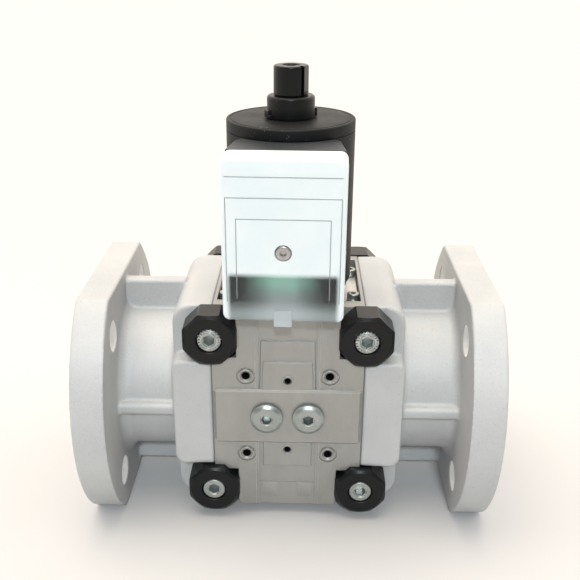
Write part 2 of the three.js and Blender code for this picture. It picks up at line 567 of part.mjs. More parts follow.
function clampBolt() {
  const { shank, head: radius, headFace, headLength, end, socket, socketDepth } = BOLT;
  const under = headFace - headLength;
  return screwAlongY([
    [0, -end + GAP], [shank, -end + 1], [shank, under], [radius, under], [radius, headFace - 0.7],
    [radius - 0.7, headFace], [0, headFace]], socket, socketDepth, SIDES.small);
}

// The rear end of each bolt carries a round sleeve nut in its cap.
const clampNut = () => ring(BOLT.shank + GAP, BOLT.head, 0, BOLT.headLength, SIDES.small)
  .rotate([-90, 0, 0]);

const cap = clampCap();
const places = [
  ['upper_inlet', -1, 1], ['upper_outlet', 1, 1], ['lower_inlet', -1, -1], ['lower_outlet', 1, -1],
];
for (const [where, sideX, sideZ] of places) {
  const x = sideX * CLAMP.x;
  const z = sideZ * CLAMP.z;
  const seat = BLOCK.face + GAP;
  piece(`clamp_cap_front_${where}`, cap, MATERIAL.black(), valve, { x, y: -seat, z });
  piece(`clamp_cap_rear_${where}`, cap, MATERIAL.black(), valve, { x, y: seat, z, turn: Math.PI });
  piece(`clamp_bolt_${where}`, clampBolt(), MATERIAL.zinc(), valve, { x, z });
  piece(`clamp_nut_${where}`, clampNut(), MATERIAL.zinc(), valve,
    { x, y: BOLT.headFace - BOLT.headLength, z });
}

// ---------------------------------------------------------------- test-point plugs
const plug = screwAlongY([
  [0, -PLUG.length], [PLUG.shank, 1 - PLUG.length], [PLUG.shank, 0], [PLUG.radius, 0], [PLUG.radius, 1.2],
  [PLUG.radius - 1.2, PLUG.height], [0, PLUG.height]], PLUG.socket, PLUG.socketDepth, SIDES.turned);
const washer = () => (
  ring(PLUG.shank + GAP, PLUG.radius - WASHER, 0, WASHER, SIDES.small).rotate([90, 0, 0]));
for (const [name, x] of [['inlet', -PLUG.x], ['outlet', PLUG.x]]) {
  const y = BAND.face + 2 * WASHER;
  piece(`test_plug_front_${name}`, plug, MATERIAL.zinc(), valve, { x, y: -y });
  piece(`test_plug_rear_${name}`, plug, MATERIAL.zinc(), valve, { x, y, turn: Math.PI });
  piece(`test_plug_washer_${name}`, washer(), MATERIAL.steel(), valve, { x, y: -BAND.face - GAP });
}

export default valve;
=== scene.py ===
"""Looks of a flanged gas solenoid valve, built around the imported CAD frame. Blender 4.5.

Pieces are drawn in millimetres from the crossing of the pipe axis and the solenoid axis, then put in
the frame in metres by settle(). Pieces of the solenoid head are turned with the head.
"""
import json
import math
import random

import bmesh
import bpy
from mathutils import Matrix, Vector


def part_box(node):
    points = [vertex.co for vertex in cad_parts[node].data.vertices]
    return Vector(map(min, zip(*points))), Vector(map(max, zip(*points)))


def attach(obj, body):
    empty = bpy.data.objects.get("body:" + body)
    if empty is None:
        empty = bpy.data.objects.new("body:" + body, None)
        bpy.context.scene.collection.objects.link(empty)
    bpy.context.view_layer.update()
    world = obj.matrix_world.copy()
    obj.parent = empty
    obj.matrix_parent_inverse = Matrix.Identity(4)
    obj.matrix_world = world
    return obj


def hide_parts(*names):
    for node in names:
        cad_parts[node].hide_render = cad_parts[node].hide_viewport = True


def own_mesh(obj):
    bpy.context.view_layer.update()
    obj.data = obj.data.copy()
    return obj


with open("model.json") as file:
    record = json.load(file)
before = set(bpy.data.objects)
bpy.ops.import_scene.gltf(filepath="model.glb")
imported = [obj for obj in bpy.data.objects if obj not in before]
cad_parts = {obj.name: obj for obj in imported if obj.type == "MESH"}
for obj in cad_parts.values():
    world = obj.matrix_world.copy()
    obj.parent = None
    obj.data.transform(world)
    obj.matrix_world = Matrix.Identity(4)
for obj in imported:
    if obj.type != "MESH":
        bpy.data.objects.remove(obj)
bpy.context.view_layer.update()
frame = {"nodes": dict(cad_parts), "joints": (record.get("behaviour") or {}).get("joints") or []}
MM = 0.001
TAU = 2 * math.pi


# ------ sizes taken from the frame
def extent(node, axis):
    low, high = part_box(node)
    return (high[axis] - low[axis]) / MM


AXIS = extent("inlet_flange", 2) / 2
FACE = -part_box("inlet_flange")[0][0] / MM
RIM = extent("inlet_flange", 1) / 2
BODY_LOW, BODY_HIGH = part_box("valve_body")
SEAM = BODY_HIGH[0] / MM
BAND_FACE = BODY_HIGH[1] / MM
DECK = BODY_HIGH[2] / MM - AXIS
PLATE_LOW = BODY_LOW[2] / MM - AXIS
CAP_LOW, CAP_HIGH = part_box("clamp_cap_front_upper_outlet")
CLAMP_X = (CAP_LOW[0] + CAP_HIGH[0]) / 2 / MM
CLAMP_Z = (CAP_LOW[2] + CAP_HIGH[2]) / 2 / MM - AXIS
CLAMP_FLATS = (CAP_HIGH[2] - CAP_LOW[2]) / MM
CLAMP_FACE = -CAP_LOW[1] / MM
CLAMP_SEAT = -CAP_HIGH[1] / MM
HOUSING_R = extent("solenoid_cap", 1) / 2
HOUSING_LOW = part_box("solenoid_housing")[0][2] / MM - AXIS
HOUSING_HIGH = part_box("solenoid_cap")[1][2] / MM - AXIS
DAMPER_LOW, DAMPER_HIGH = (corner[2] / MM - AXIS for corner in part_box("damper_housing"))
KNOB_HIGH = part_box("flow_adjuster")[1][2] / MM - AXIS
KNOB_R = extent("flow_adjuster", 1) / 2
COVER_SLIDE = next(joint for joint in frame["joints"] if joint["name"] == "cover_lift_off")["axis"]
SWIVEL = math.atan2(COVER_SLIDE[0], -COVER_SLIDE[1])

FLANGE_THICK = 18.2
FLANGE_INNER = -FACE + FLANGE_THICK
FLANGE_HOLE_R = 9
BOLT_OFFSET = 125 / 2 / math.sqrt(2)     # holes at 45 degrees on a 125 mm bolt circle
BORE_R = 26.5
NECK_R = 44
SHOULDER = 64.5
CLAMP_HOLE_R = 4.6
BOLT_SEAT = 48.6
BLOCK_FACE = 40
BELLY_FACE = 52.6
COLUMN_FACE = BELLY_FACE - 1.1           # the sunk column in the middle of the front plate
COLUMN_HALF = 16.4
BELLY_HALF = 33.2
PLATE_HALF = 28.3
BAND_HALF = 17.2
BOX_LOW, BOX_HIGH, BOX_BACK = 67, 150.3, 51.1
COVER_LOW, COVER_HIGH, COVER_HALF = 65.3, 150.3, 31
COVER_REAR, COVER_FRONT = 52.3, 68.4
COVER_SCREW_Z = 102.4
PLUG_X = 11.6
TAP_FLOOR = 43
SMALL_R, SMALL_HOLES = 1.85, [(22.5, 54.1), (-22.5, 53.0)]
M5_R, TAPPED_M5 = 2.4, [(-23.2, 25.1), (23.2, 25.1), (-23.2, -25.1), (23.2, -25.1)]


# ------ mesh helpers
def new_object(name, bm):
    bmesh.ops.remove_doubles(bm, verts=bm.verts, dist=1e-5)
    bmesh.ops.recalc_face_normals(bm, faces=bm.faces)
    mesh = bpy.data.meshes.new(name)
    bm.to_mesh(mesh)
    bm.free()
    obj = bpy.data.objects.new(name, mesh)
    bpy.context.scene.collection.objects.link(obj)
    return obj


def rounded(points, radius, steps=4, closed=False):
    """The polyline with an arc of the given radius at each corner; a radius of 0 keeps the corner."""
    count = len(points)
    radii = radius if isinstance(radius, (list, tuple)) else [radius] * count
    result = []
    for i, point in enumerate(points):
        corner = Vector(point)
        if radii[i] <= 0 or (not closed and i in (0, count - 1)):
            result.append(tuple(corner))
            continue
        before = Vector(points[i - 1]) - corner
        after = Vector(points[(i + 1) % count]) - corner
        half = before.angle(after) / 2
        reach = min(radii[i] / math.tan(half), before.length * 0.49, after.length * 0.49)
        arc_radius = reach * math.tan(half)
        inward = (before.normalized() + after.normalized()).normalized()
        centre = corner + inward * (arc_radius / math.sin(half))
        start = corner + before.normalized() * reach - centre
        end = corner + after.normalized() * reach - centre
        sweep = start.angle_signed(end)
        for step in range(steps + 1):
            turn = Matrix.Rotation(-sweep * step / steps, 2)
            result.append(tuple(centre + turn @ start))
    return result


def lathe(name, profile, segments=64):
    """A profile of (radius, z) turned about Z. It starts and ends on the axis, or closes on itself."""
    bm = bmesh.new()
    ring_count = len(profile)
    closed = profile[0][0] > 1e-6
    rings = []
    for radius, z in profile:
        if radius < 1e-6:
            rings.append([bm.verts.new((0, 0, z))])
        else:
            rings.append([bm.verts.new((radius * math.cos(TAU * i / segments),
                                        radius * math.sin(TAU * i / segments), z)) for i in range(segments)])
    pairs = [(i, (i + 1) % ring_count) for i in range(ring_count if closed else ring_count - 1)]
    for low, high in pairs:
        a, b = rings[low], rings[high]
        for i in range(segments):
            j = (i + 1) % segments
            if len(a) == 1 and len(b) == 1:
                continue
            if len(a) == 1:
                bm.faces.new((a[0], b[i], b[j]))
            elif len(b) == 1:
                bm.faces.new((a[i], a[j], b[0]))
            else:
                bm.faces.new((a[i], a[j], b[j], b[i]))
    return new_object(name, bm)


def prism(name, outline, low, high, bevel=0.0, segments=2):
    """An outline of (x, y) points pushed from z = low to z = high, with its end edges bevelled."""
    bm = bmesh.new()
    bottom = [bm.verts.new((x, y, low)) for x, y in outline]
    top = [bm.verts.new((x, y, high)) for x, y in outline]
    count = len(outline)
    bm.faces.new(bottom[::-1])
    bm.faces.new(top)
    for i in range(count):
        j = (i + 1) % count
        bm.faces.new((bottom[i], bottom[j], top[j], top[i]))
    if bevel:
        rims = [e for e in bm.edges if abs(e.verts[0].co.z - e.verts[1].co.z) < 1e-6]
        bmesh.ops.bevel(bm, geom=rims, offset=bevel, segments=segments, affect="EDGES", profile=0.5,
                        clamp_overlap=True)
    return new_object(name, bm)


def block(name, low, high, bevel=0.0, segments=2):
    bm = bmesh.new()
    bmesh.ops.create_cube(bm, size=1.0)
    for vert in bm.verts:
        vert.co = Vector(low[k] if vert.co[k] < 0 else high[k] for k in range(3))
    if bevel:
        bmesh.ops.bevel(bm, geom=bm.edges[:], offset=bevel, segments=segments, affect="EDGES", profile=0.5)
    return new_object(name, bm)


def duplicate(obj, name):
    copy = bpy.data.objects.new(name, obj.data.copy())
    bpy.context.scene.collection.objects.link(copy)
    return copy


def moved(obj, x=0, y=0, z=0):
    obj.data.transform(Matrix.Translation((x, y, z)))
    return obj


def turned(obj, degrees, axis):
    obj.data.transform(Matrix.Rotation(math.radians(degrees), 4, axis))
    return obj


def along_x(obj):
    return turned(obj, 90, "Y")


def along_minus_y(obj):
    return turned(obj, 90, "X")


def two_sided(make):
    """The front piece and the same piece turned to the rear."""
    return [make(), turned(make(), 180, "Z")]


def corners(across, up):
    return [(side * across, end * up) for side in (-1, 1) for end in (-1, 1)]


def evaluated(obj):
    """Applies the object's modifiers."""
    graph = bpy.context.evaluated_depsgraph_get()
    mesh = bpy.data.meshes.new_from_object(obj.evaluated_get(graph))
    obj.modifiers.clear()
    obj.data = mesh
    return obj


def boolean(obj, tools, operation="DIFFERENCE"):
    for tool in tools:
        modifier = obj.modifiers.new("cut", "BOOLEAN")
        modifier.operation = operation
        modifier.solver = "MANIFOLD"
        modifier.object = tool
        evaluated(obj)
        bpy.data.objects.remove(tool)
    return obj


def joined(name, objects):
    bm = bmesh.new()
    for obj in objects:
        bm.from_mesh(obj.data)
        bpy.data.objects.remove(obj)
    return new_object(name, bm)


def rod(name, radius, low, high, segments=32):
    return lathe(name, [(0, low), (radius, low), (radius, high), (0, high)], segments)


def regular(sides, across_flats):
    reach = across_flats / 2 / math.cos(math.pi / sides)
    return [(reach * math.cos(TAU * (i + 0.5) / sides), reach * math.sin(TAU * (i + 0.5) / sides))
            for i in range(sides)]


def cast_skin(obj, voxel, passes):
    """Melts overlapping blanks into one casting with soft fillets."""
    remesh = obj.modifiers.new("skin", "REMESH")
    remesh.mode = "VOXEL"
    remesh.voxel_size = voxel
    evaluated(obj)
    smooth = obj.modifiers.new("soft", "SMOOTH")
    smooth.factor = 0.6
    smooth.iterations = passes
    evaluated(obj)
    thin = obj.modifiers.new("thin", "DECIMATE")
    thin.ratio = 0.3
    return evaluated(obj)


def dress(mesh, material, crease):
    """Smooth faces, sharp edges above the crease angle and one material."""
    for polygon in mesh.polygons:
        polygon.use_smooth = True
    mesh.set_sharp_from_angle(angle=math.radians(crease))
    mesh.materials.clear()
    mesh.materials.append(material)


def settle(obj, body, material, slot, nodes=(), crease=40, weighted=False):
    """Puts a finished mesh in the frame, under its body, with its material, and hides the CAD nodes it stands
    for.
    """
    matrix = Matrix.Scale(MM, 4) @ Matrix.Translation((0, 0, AXIS))
    if body in ("solenoid_head", "cover"):
        matrix = Matrix.Rotation(SWIVEL, 4, "Z") @ matrix
    obj.data.transform(matrix)
    dress(obj.data, material, crease)
    if weighted:
        normals = obj.modifiers.new("flat_normals", "WEIGHTED_NORMAL")
        normals.keep_sharp = True
    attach(obj, body)
    if nodes:
        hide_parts(*nodes)
    return obj


# ------ materials
class Nodes:
    """A small helper that wires a procedural material."""

    def __init__(self, name):
        self.material = bpy.data.materials.new(name)
        self.material.use_nodes = True
        self.tree = self.material.node_tree
        self.shader = self.tree.nodes["Principled BSDF"]
        self.coordinates = self.tree.nodes.new("ShaderNodeTexCoord").outputs["Object"]

    def link(self, source, target):
        self.tree.links.new(source, target)

    def feed(self, value, socket):
        """Links an output to the socket, or sets the socket to a number or a colour."""
        if hasattr(value, "is_output"):
            self.link(value, socket)
        else:
            socket.default_value = (*value, 1) if isinstance(value, tuple) else value

    def set(self, **values):
        for key, value in values.items():
            self.shader.inputs[key.replace("_", " ")].default_value = value

    def noise(self, scale, detail=4.0, roughness=0.55, stretch=None):
        node = self.tree.nodes.new("ShaderNodeTexNoise")
        node.inputs["Scale"].default_value = scale
        node.inputs["Detail"].default_value = detail
        node.inputs["Roughness"].default_value = roughness
        source = self.coordinates
        if stretch:
            mapping = self.tree.nodes.new("ShaderNodeMapping")
            mapping.inputs["Scale"].default_value = stretch
            self.link(source, mapping.inputs["Vector"])
            source = mapping.outputs["Vector"]
        self.link(source, node.inputs["Vector"])
        return node.outputs["Fac"]

    def ramp(self, source, stops):
        node = self.tree.nodes.new("ShaderNodeValToRGB")
        elements = node.color_ramp.elements
        while len(elements) < len(stops):
            elements.new(0.5)
        for element, (position, color) in zip(elements, stops):
            element.position = position
            element.color = color if len(color) == 4 else (*color, 1)
        self.link(source, node.inputs["Fac"])
        return node.outputs["Color"]

    def fade(self, source, start, end, low, high):
        """A grey ramp from low at start to high at end."""
        return self.ramp(source, [(start, grey(low)), (end, grey(high))])

    def mix(self, factor, a, b):
        node = self.tree.nodes.new("ShaderNodeMix")
        node.data_type = "RGBA"
        for value, index in ((factor, 0), (a, 6), (b, 7)):
            self.feed(value, node.inputs[index])
        return node.outputs[2]

    def math(self, operation, a, b=0.0, clamp=False):
        node = self.tree.nodes.new("ShaderNodeMath")
        node.operation = operation
        node.use_clamp = clamp
        for index, value in enumerate((a, b)):
            self.feed(value, node.inputs[index])
        return node.outputs[0]

    def separate(self):
        node = self.tree.nodes.new("ShaderNodeSeparateXYZ")
        self.link(self.coordinates, node.inputs[0])
        return node.outputs

    def wear_and_highlight_edges(self, radius, strength):
        """Paints convex edges bright, by comparing the bevelled normal with the flat one: partly edge wear,
        partly a painted highlight for the light that rounded edges catch.
        """
        bevel = self.tree.nodes.new("ShaderNodeBevel")
        bevel.samples = 4
        bevel.inputs["Radius"].default_value = radius
        geometry = self.tree.nodes.new("ShaderNodeNewGeometry")
        dot = self.tree.nodes.new("ShaderNodeVectorMath")
        dot.operation = "DOT_PRODUCT"
        self.link(bevel.outputs["Normal"], dot.inputs[0])
        self.link(geometry.outputs["Normal"], dot.inputs[1])
        return self.math("MULTIPLY", self.math("SUBTRACT", 1.0, dot.outputs["Value"]), strength, clamp=True)

    def bump(self, height, strength, distance, normal=None):
        node = self.tree.nodes.new("ShaderNodeBump")
        node.inputs["Strength"].default_value = strength
        node.inputs["Distance"].default_value = distance
        self.link(height, node.inputs["Height"])
        if normal is not None:
            self.link(normal, node.inputs["Normal"])
        return node.outputs["Normal"]

    def finish(self, color=None, roughness=None, normal=None):
        for value, key in ((color, "Base Color"), (roughness, "Roughness"), (normal, "Normal")):
            if value is not None:
                self.link(value, self.shader.inputs[key])
        return self.material


def grey(value, warm=0.0):
    return (value * (1 + warm), value, value * (1 - warm))


def sand_cast(name):
    """Sand-blasted aluminium casting: pale, matt, with a fine grain and slow blotches."""
    n = Nodes(name)
    n.set(Metallic=0.25, Specular_IOR_Level=0.4)
    blotch = n.noise(28, 5, 0.6)
    grain = n.noise(1900, 3, 0.6)
    fleck = n.noise(650, 2, 0.5)
    color = n.ramp(blotch, [(0.3, (0.41, 0.425, 0.43)), (0.7, (0.495, 0.505, 0.505))])
    color = n.mix(n.fade(grain, 0.35, 0.75, 0, 0.75), color, (0.58, 0.59, 0.59))
    color = n.mix(n.fade(fleck, 0.66, 0.72, 0, 0.30), color, (0.33, 0.32, 0.30))
    rough = n.fade(grain, 0.3, 0.7, 0.52, 0.68)
    normal = n.bump(grain, 0.5, 0.00018)
    normal = n.bump(blotch, 0.25, 0.0006, normal)
    return n.finish(color, rough, normal)


def die_cast(name):
    """Bare die-cast aluminium: smooth, satin, with flow marks and faint stains."""
    n = Nodes(name)
    n.set(Metallic=0.55, Specular_IOR_Level=0.5)
    flow = n.noise(60, 5, 0.65, stretch=(1.0, 1.0, 0.35))
    stain = n.noise(230, 4, 0.7)
    grain = n.noise(2400, 2, 0.5)
    color = n.ramp(flow, [(0.3, (0.32, 0.318, 0.30)), (0.55, (0.345, 0.343, 0.325)),
                          (0.8, (0.375, 0.373, 0.355))])
    color = n.mix(n.fade(stain, 0.62, 0.78, 0, 0.22), color, (0.22, 0.215, 0.20))
    # Painted highlight: convex edges are mixed towards pale, partly as edge wear and partly for the light
    # that rounded edges catch.
    color = n.mix(n.wear_and_highlight_edges(0.0003, 1.8), color, (0.84, 0.84, 0.81))
    rough = n.fade(stain, 0.3, 0.7, 0.34, 0.48)
    normal = n.bump(grain, 0.15, 0.00006)
    normal = n.bump(flow, 0.03, 0.0004, normal)
    return n.finish(color, rough, normal)


def zinc(name, level=0.37):
    """Bright zinc plate, faintly green, with a slow cloudy tone."""
    n = Nodes(name)
    n.set(Metallic=0.85)
    cloud = n.noise(130, 3, 0.5)
    grit = n.noise(2600, 2, 0.5)
    color = n.ramp(cloud, [(0.3, (level * 0.88, level * 0.97, level * 0.93)),
                           (0.75, (level * 1.1, level * 1.17, level * 1.12))])
    # Painted highlight: convex edges are mixed towards pale, partly as edge wear and partly for the light
    # that rounded edges catch.
    color = n.mix(n.wear_and_highlight_edges(0.0004, 2.0), color, (0.92, 0.93, 0.90))
    rough = n.fade(cloud, 0.3, 0.75, 0.32, 0.42)
    return n.finish(color, rough, n.bump(grit, 0.15, 0.00003))


def plain_metal(name, color, roughness):
    n = Nodes(name)
    n.set(Metallic=0.95)
    brushed = n.noise(900, 3, 0.6, stretch=(1.0, 1.0, 0.08))
    tint = n.ramp(brushed, [(0.3, tuple(c * 0.8 for c in color)), (0.7, color)])
    rough = n.fade(brushed, 0.3, 0.7, roughness - 0.06, roughness + 0.08)
    return n.finish(tint, rough, n.bump(brushed, 0.15, 0.00004))


def black_plastic(name, level=0.012, roughness=0.42, dust=0.25):
    """Moulded black plastic with a fine texture, handling marks and a little pale dust."""
    n = Nodes(name)
    n.set(Specular_IOR_Level=0.24)
    leather = n.noise(1500, 3, 0.55)
    smear = n.noise(45, 4, 0.6)
    specks = n.noise(900, 2, 0.45)
    where = n.noise(70, 3, 0.6)
    color = n.ramp(smear, [(0.3, grey(level, -0.12)), (0.75, grey(level * 1.7, -0.08))])
    spots = n.math("MULTIPLY", n.fade(specks, 0.70, 0.74, 0, 1), n.fade(where, 0.5, 0.7, 0, 1))
    color = n.mix(n.math("MULTIPLY", spots, dust), color, (0.55, 0.54, 0.52))
    # Painted highlight: convex edges are mixed towards grey, partly as edge wear and partly for the light
    # that rounded edges catch.
    color = n.mix(n.wear_and_highlight_edges(0.0005, 0.9), color, grey(level * 5, 0.05))
    rough = n.fade(smear, 0.3, 0.75, roughness - 0.07, roughness + 0.1)
    return n.finish(color, rough, n.bump(leather, 0.22, 0.00006))


def rubber(name):
    n = Nodes(name)
    n.set(Specular_IOR_Level=0.3)
    bloom = n.noise(240, 4, 0.6)
    color = n.fade(bloom, 0.35, 0.7, 0.012, 0.03)
    return n.finish(color, n.fade(bloom, 0.3, 0.7, 0.7, 0.9), n.bump(bloom, 0.2, 0.0001))


def moulded(name, low, high, roughness):
    n = Nodes(name)
    mottle = n.noise(160, 4, 0.6)
    fine = n.noise(1600, 2, 0.5)
    color = n.ramp(mottle, [(0.3, low), (0.7, high)])
    rough = n.fade(mottle, 0.3, 0.7, roughness - 0.08, roughness + 0.08)
    return n.finish(color, rough, n.bump(fine, 0.15, 0.00005))


def winding(name):
    """Enamelled wire: even turns around the coil."""
    n = Nodes(name)
    n.set(Metallic=0.7)
    wave = n.tree.nodes.new("ShaderNodeTexWave")
    wave.bands_direction = "Z"
    wave.inputs["Scale"].default_value = 300
    n.link(n.coordinates, wave.inputs["Vector"])
    color = n.ramp(wave.outputs["Fac"], [(0.1, (0.16, 0.05, 0.02)), (0.8, (0.52, 0.20, 0.08))])
    shade = n.noise(90, 4, 0.6)
    return n.finish(color, n.fade(shade, 0.3, 0.7, 0.25, 0.4),
                    n.bump(wave.outputs["Fac"], 0.5, 0.0002))


def frosted(name):
    """Milky translucent polycarbonate with a clearer window low down, greenish in its middle."""
    n = Nodes(name)
    n.set(IOR=1.45, Specular_IOR_Level=0.25)
    haze = n.noise(55, 4, 0.6)
    grain = n.noise(1800, 2, 0.5)
    x, _, z = n.separate()
    height = n.math("DIVIDE", n.math("SUBTRACT", z, (AXIS + 60) * MM), 100 * MM)
    band = n.ramp(height, [(0.04, grey(0.55)), (0.10, grey(0.62)), (0.17, grey(0.98)), (0.29, grey(1.0)),
                           (0.32, grey(0.0))])
    reach = n.math("DIVIDE", n.math("ABSOLUTE", n.math("ADD", x, 2.4 * MM)), 40 * MM)
    window = n.math("MULTIPLY", band, n.fade(reach, 0.66, 0.72, 1.0, 0.0))
    milky = n.ramp(haze, [(0.3, (0.79, 0.885, 0.905)), (0.7, (0.86, 0.92, 0.93))])
    middle = n.fade(reach, 0.12, 0.52, 1.0, 0.0)
    green = n.ramp(height, [(0.15, (0.62, 0.68, 0.70)), (0.26, (0.63, 0.95, 0.86))])
    color = n.mix(window, milky, n.mix(middle, (0.42, 0.50, 0.50), green))
    clear = n.mix(middle, grey(0.99), grey(0.74))
    n.link(n.mix(window, grey(0.12), clear), n.shader.inputs["Transmission Weight"])
    rough = n.mix(window, grey(0.4), grey(0.36))
    return n.finish(color, rough, n.bump(grain, 0.1, 0.00005))


MAT = {
    "cast": sand_cast("sand_cast_aluminium"),
    "body": die_cast("die_cast_aluminium"),
    # Painted reflection: near-white matt walls for the bolt holes stand in for the light that bored metal
    # reflects.
    "drilled": moulded("drilled_aluminium_painted_bright", (0.84, 0.86, 0.86), (0.92, 0.93, 0.93), 0.5),
    "zinc": zinc("zinc_plate"),
    "steel": plain_metal("turned_steel", (0.52, 0.51, 0.50), 0.32),
    "bright": plain_metal("pale_steel", (0.80, 0.78, 0.74), 0.45),
    # Painted shade: near-black metal that darkens the inside of the tapped holes.
    "hole_shade": plain_metal("painted_hole_shade", (0.05, 0.05, 0.05), 0.6),
    "brass": plain_metal("turned_brass", (0.55, 0.38, 0.14), 0.3),
    "black": black_plastic("black_plastic", 0.0035, 0.33),
    "cap": black_plastic("black_cap_plastic", 0.0045, 0.32, 0.12),
    "shell": black_plastic("solenoid_shell", 0.0045, 0.54, 0.6),
    "box": black_plastic("terminal_box_plastic", 0.03, 0.38, 0.2),
    "rubber": rubber("rubber"),
    "board": moulded("solder_resist", (0.01, 0.10, 0.05), (0.02, 0.17, 0.08), 0.35),
    "nylon": moulded("green_nylon", (0.22, 0.72, 0.52), (0.28, 0.80, 0.60), 0.5),
    "grey": moulded("grey_nylon", (0.36, 0.36, 0.35), (0.44, 0.44, 0.43), 0.6),
    # Painted shade: dark grey for the strips that stand in for the shadow in the cover's grooves.
    "line": moulded("cover_line_shade", (0.30, 0.33, 0.34), (0.36, 0.39, 0.40), 0.5),
    "bobbin": moulded("bobbin_nylon", (0.02, 0.022, 0.02), (0.04, 0.042, 0.04), 0.5),
    "copper": winding("copper_winding"),
    "cover": frosted("milky_cover"),
    "liner": moulded("white_liner", (0.78, 0.82, 0.83), (0.86, 0.89, 0.89), 0.6),
}


# ------ flange castings
def neck_profile():
    """Neck of the casting as (radius, x): a flare at the flange and a fillet at the shoulder block."""
    flare, fillet = 6, 3
    profile = [(0, FLANGE_INNER - 4), (NECK_R + flare, FLANGE_INNER - 4), (NECK_R + flare, FLANGE_INNER)]
    profile += [(NECK_R + flare * (1 - math.sin(a)), FLANGE_INNER + flare * (1 - math.cos(a)))
                for a in (math.radians(10 * k) for k in range(1, 10))]
    profile += [(NECK_R + fillet * (1 - math.cos(a)), -SHOULDER - fillet + fillet * math.sin(a))
                for a in (math.radians(15 * k) for k in range(0, 7))]
    return profile + [(NECK_R + 3, -SHOULDER + 3), (0, -SHOULDER + 3)]


def casting(name):
    """The inlet casting: flange, neck, webs and shoulder block, then the machined faces and holes."""
    disc = along_x(rod("disc", RIM, -FACE, FLANGE_INNER, 160))
    slab = block("slab", (-FACE - 5, -99, -AXIS), (FLANGE_INNER + 5, 99, AXIS))
    disc = boolean(disc, [slab], "INTERSECT")
    neck = along_x(lathe("neck", neck_profile(), 96))
    rib_top = RIM - 20.7
    webs = [
        block("rib", (FLANGE_INNER - 4, -4, -rib_top), (-SHOULDER + 4, 4, rib_top), 1.2),
        block("fin", (FLANGE_INNER - 4, -49.5, -3.5), (-SHOULDER + 4, 49.5, 3.5), 2.2, 3),
    ]
    seam = -SEAM - 0.12
    outline = rounded([(-SHOULDER, -DECK), (seam, -DECK), (seam, DECK), (-SHOULDER, DECK)], [13, 0, 0, 13], 8,
                      closed=True)
    upper = turned(prism("shoulder", outline, -BLOCK_FACE, BLOCK_FACE, 1.6, 3), 90, "X")
    outline = rounded([(-SHOULDER, -BELLY_HALF), (seam, -BELLY_HALF), (seam, BELLY_HALF),
                       (-SHOULDER, BELLY_HALF)], [5, 0, 0, 5], 5, closed=True)
    belly = turned(prism("belly", outline, -BELLY_FACE, BELLY_FACE, 2.0, 3), 90, "X")
    solid = joined(name, [disc, neck, *webs, upper, belly])
    cast_skin(solid, 0.8, 2)
    # the machined seam face is cut back square after the casting is softened
    trim = block("trim", (seam, -99, -99), (seam + 20, 99, 99))
    bore = along_x(rod("bore", BORE_R, -FACE - 2, seam + 2, 96))
    holes = [moved(along_x(rod("hole", FLANGE_HOLE_R, -FACE - 2, FLANGE_INNER + 2, 48)), y=y, z=z)
             for y, z in corners(BOLT_OFFSET, BOLT_OFFSET)]
    grooves = [along_x(lathe("groove", [(r - 0.45, -FACE - 1), (r + 0.45, -FACE - 1), (r + 0.2, -FACE + 0.45),
                                        (r - 0.2, -FACE + 0.45)], 128)) for r in (32, 35, 38, 41, 44)]
    clamp_holes = [moved(turned(rod("clamp_hole", CLAMP_HOLE_R, -70, 70, 24), 90, "X"), x=-CLAMP_X, z=z)
                   for z in (-CLAMP_Z, CLAMP_Z)]
    return boolean(solid, [trim, bore, *holes, *grooves, *clamp_holes])


def painted_bright_hole_walls(end, turn):
    """The drilled walls of one flange's bolt holes, near-white and matt: partly clean machined metal, partly
    a painted reflection of the bright light that real bored walls mirror.
    """
    inside, outside = FLANGE_HOLE_R - 0.2, FLANGE_HOLE_R + 0.05
    near, far = 0.3 - FACE, FLANGE_INNER - 0.5
    walls = [moved(along_x(lathe(f"{end}_drilled_walls", [(inside, near), (outside, near), (outside, far),
                                                          (inside, far)], 48)), y=y, z=z)
             for y, z in corners(BOLT_OFFSET, BOLT_OFFSET)]
    settle(turned(joined(f"{end}_flange_drilled_walls", walls), turn, "Z"), "valve", MAT["drilled"],
           "cast_aluminium", crease=50)


def flanges():
    painted_bright_hole_walls("inlet", 0)
    painted_bright_hole_walls("outlet", 180)
    inlet = casting("inlet_flange_casting")
    outlet = turned(duplicate(inlet, "outlet_flange_casting"), 180, "Z")
    for end, solid in (("inlet", inlet), ("outlet", outlet)):
        settle(solid, "valve", MAT["cast"], "cast_aluminium", [f"{end}_flange", f"{end}_neck"], crease=50)


# ------ valve body
def octagon_nests():
    """Pockets for the clamp caps, on both sides."""
    return [moved(turned(prism("nest", regular(8, CLAMP_FLATS + 0.6), BLOCK_FACE, 90), turn, "X"), x=x, z=z)
            for x, z in corners(CLAMP_X, CLAMP_Z) for turn in (-90, 90)]


def front_band():
    """The raised band across the front and rear, as one bar with chamfered edges."""
    x, chamfer = SEAM, 2
    outline = [(-x, -BAND_FACE + chamfer), (-x + chamfer, -BAND_FACE), (x - chamfer, -BAND_FACE),
               (x, -BAND_FACE + chamfer), (x, BAND_FACE - chamfer), (x - chamfer, BAND_FACE),
               (-x + chamfer, BAND_FACE), (-x, BAND_FACE - chamfer)]
    return prism("band", outline, -BAND_HALF, BAND_HALF, 1.2, 1)


def plate_cuts():
    """The sunk column, fine lines and rings around the tapped holes."""
    low, high, front = PLATE_LOW - 1, DECK + 1, BELLY_FACE
    cuts = two_sided(lambda: block("column", (-COLUMN_HALF, -60, low), (COLUMN_HALF, -COLUMN_FACE, high)))
    for x, half in ((18.0, 0.22), (-17.9, 0.12)):
        cuts += two_sided(lambda: block("groove", (x - half, -60, low), (x + half, 0.5 - front, high)))
    cuts += two_sided(lambda: block("foot_line", (-COLUMN_HALF, -60, -45.2), (COLUMN_HALF, 0.4 - COLUMN_FACE,
                                                                            -44.9)))
    ring = [(4.4, front - 0.6), (5.1, front - 0.6), (5.5, front + 0.2), (4.4, front + 0.2)]
    for x, z in TAPPED_M5:
        cuts += two_sided(lambda: moved(along_minus_y(lathe("moat", ring, 40)), x=x, z=z))
    return cuts


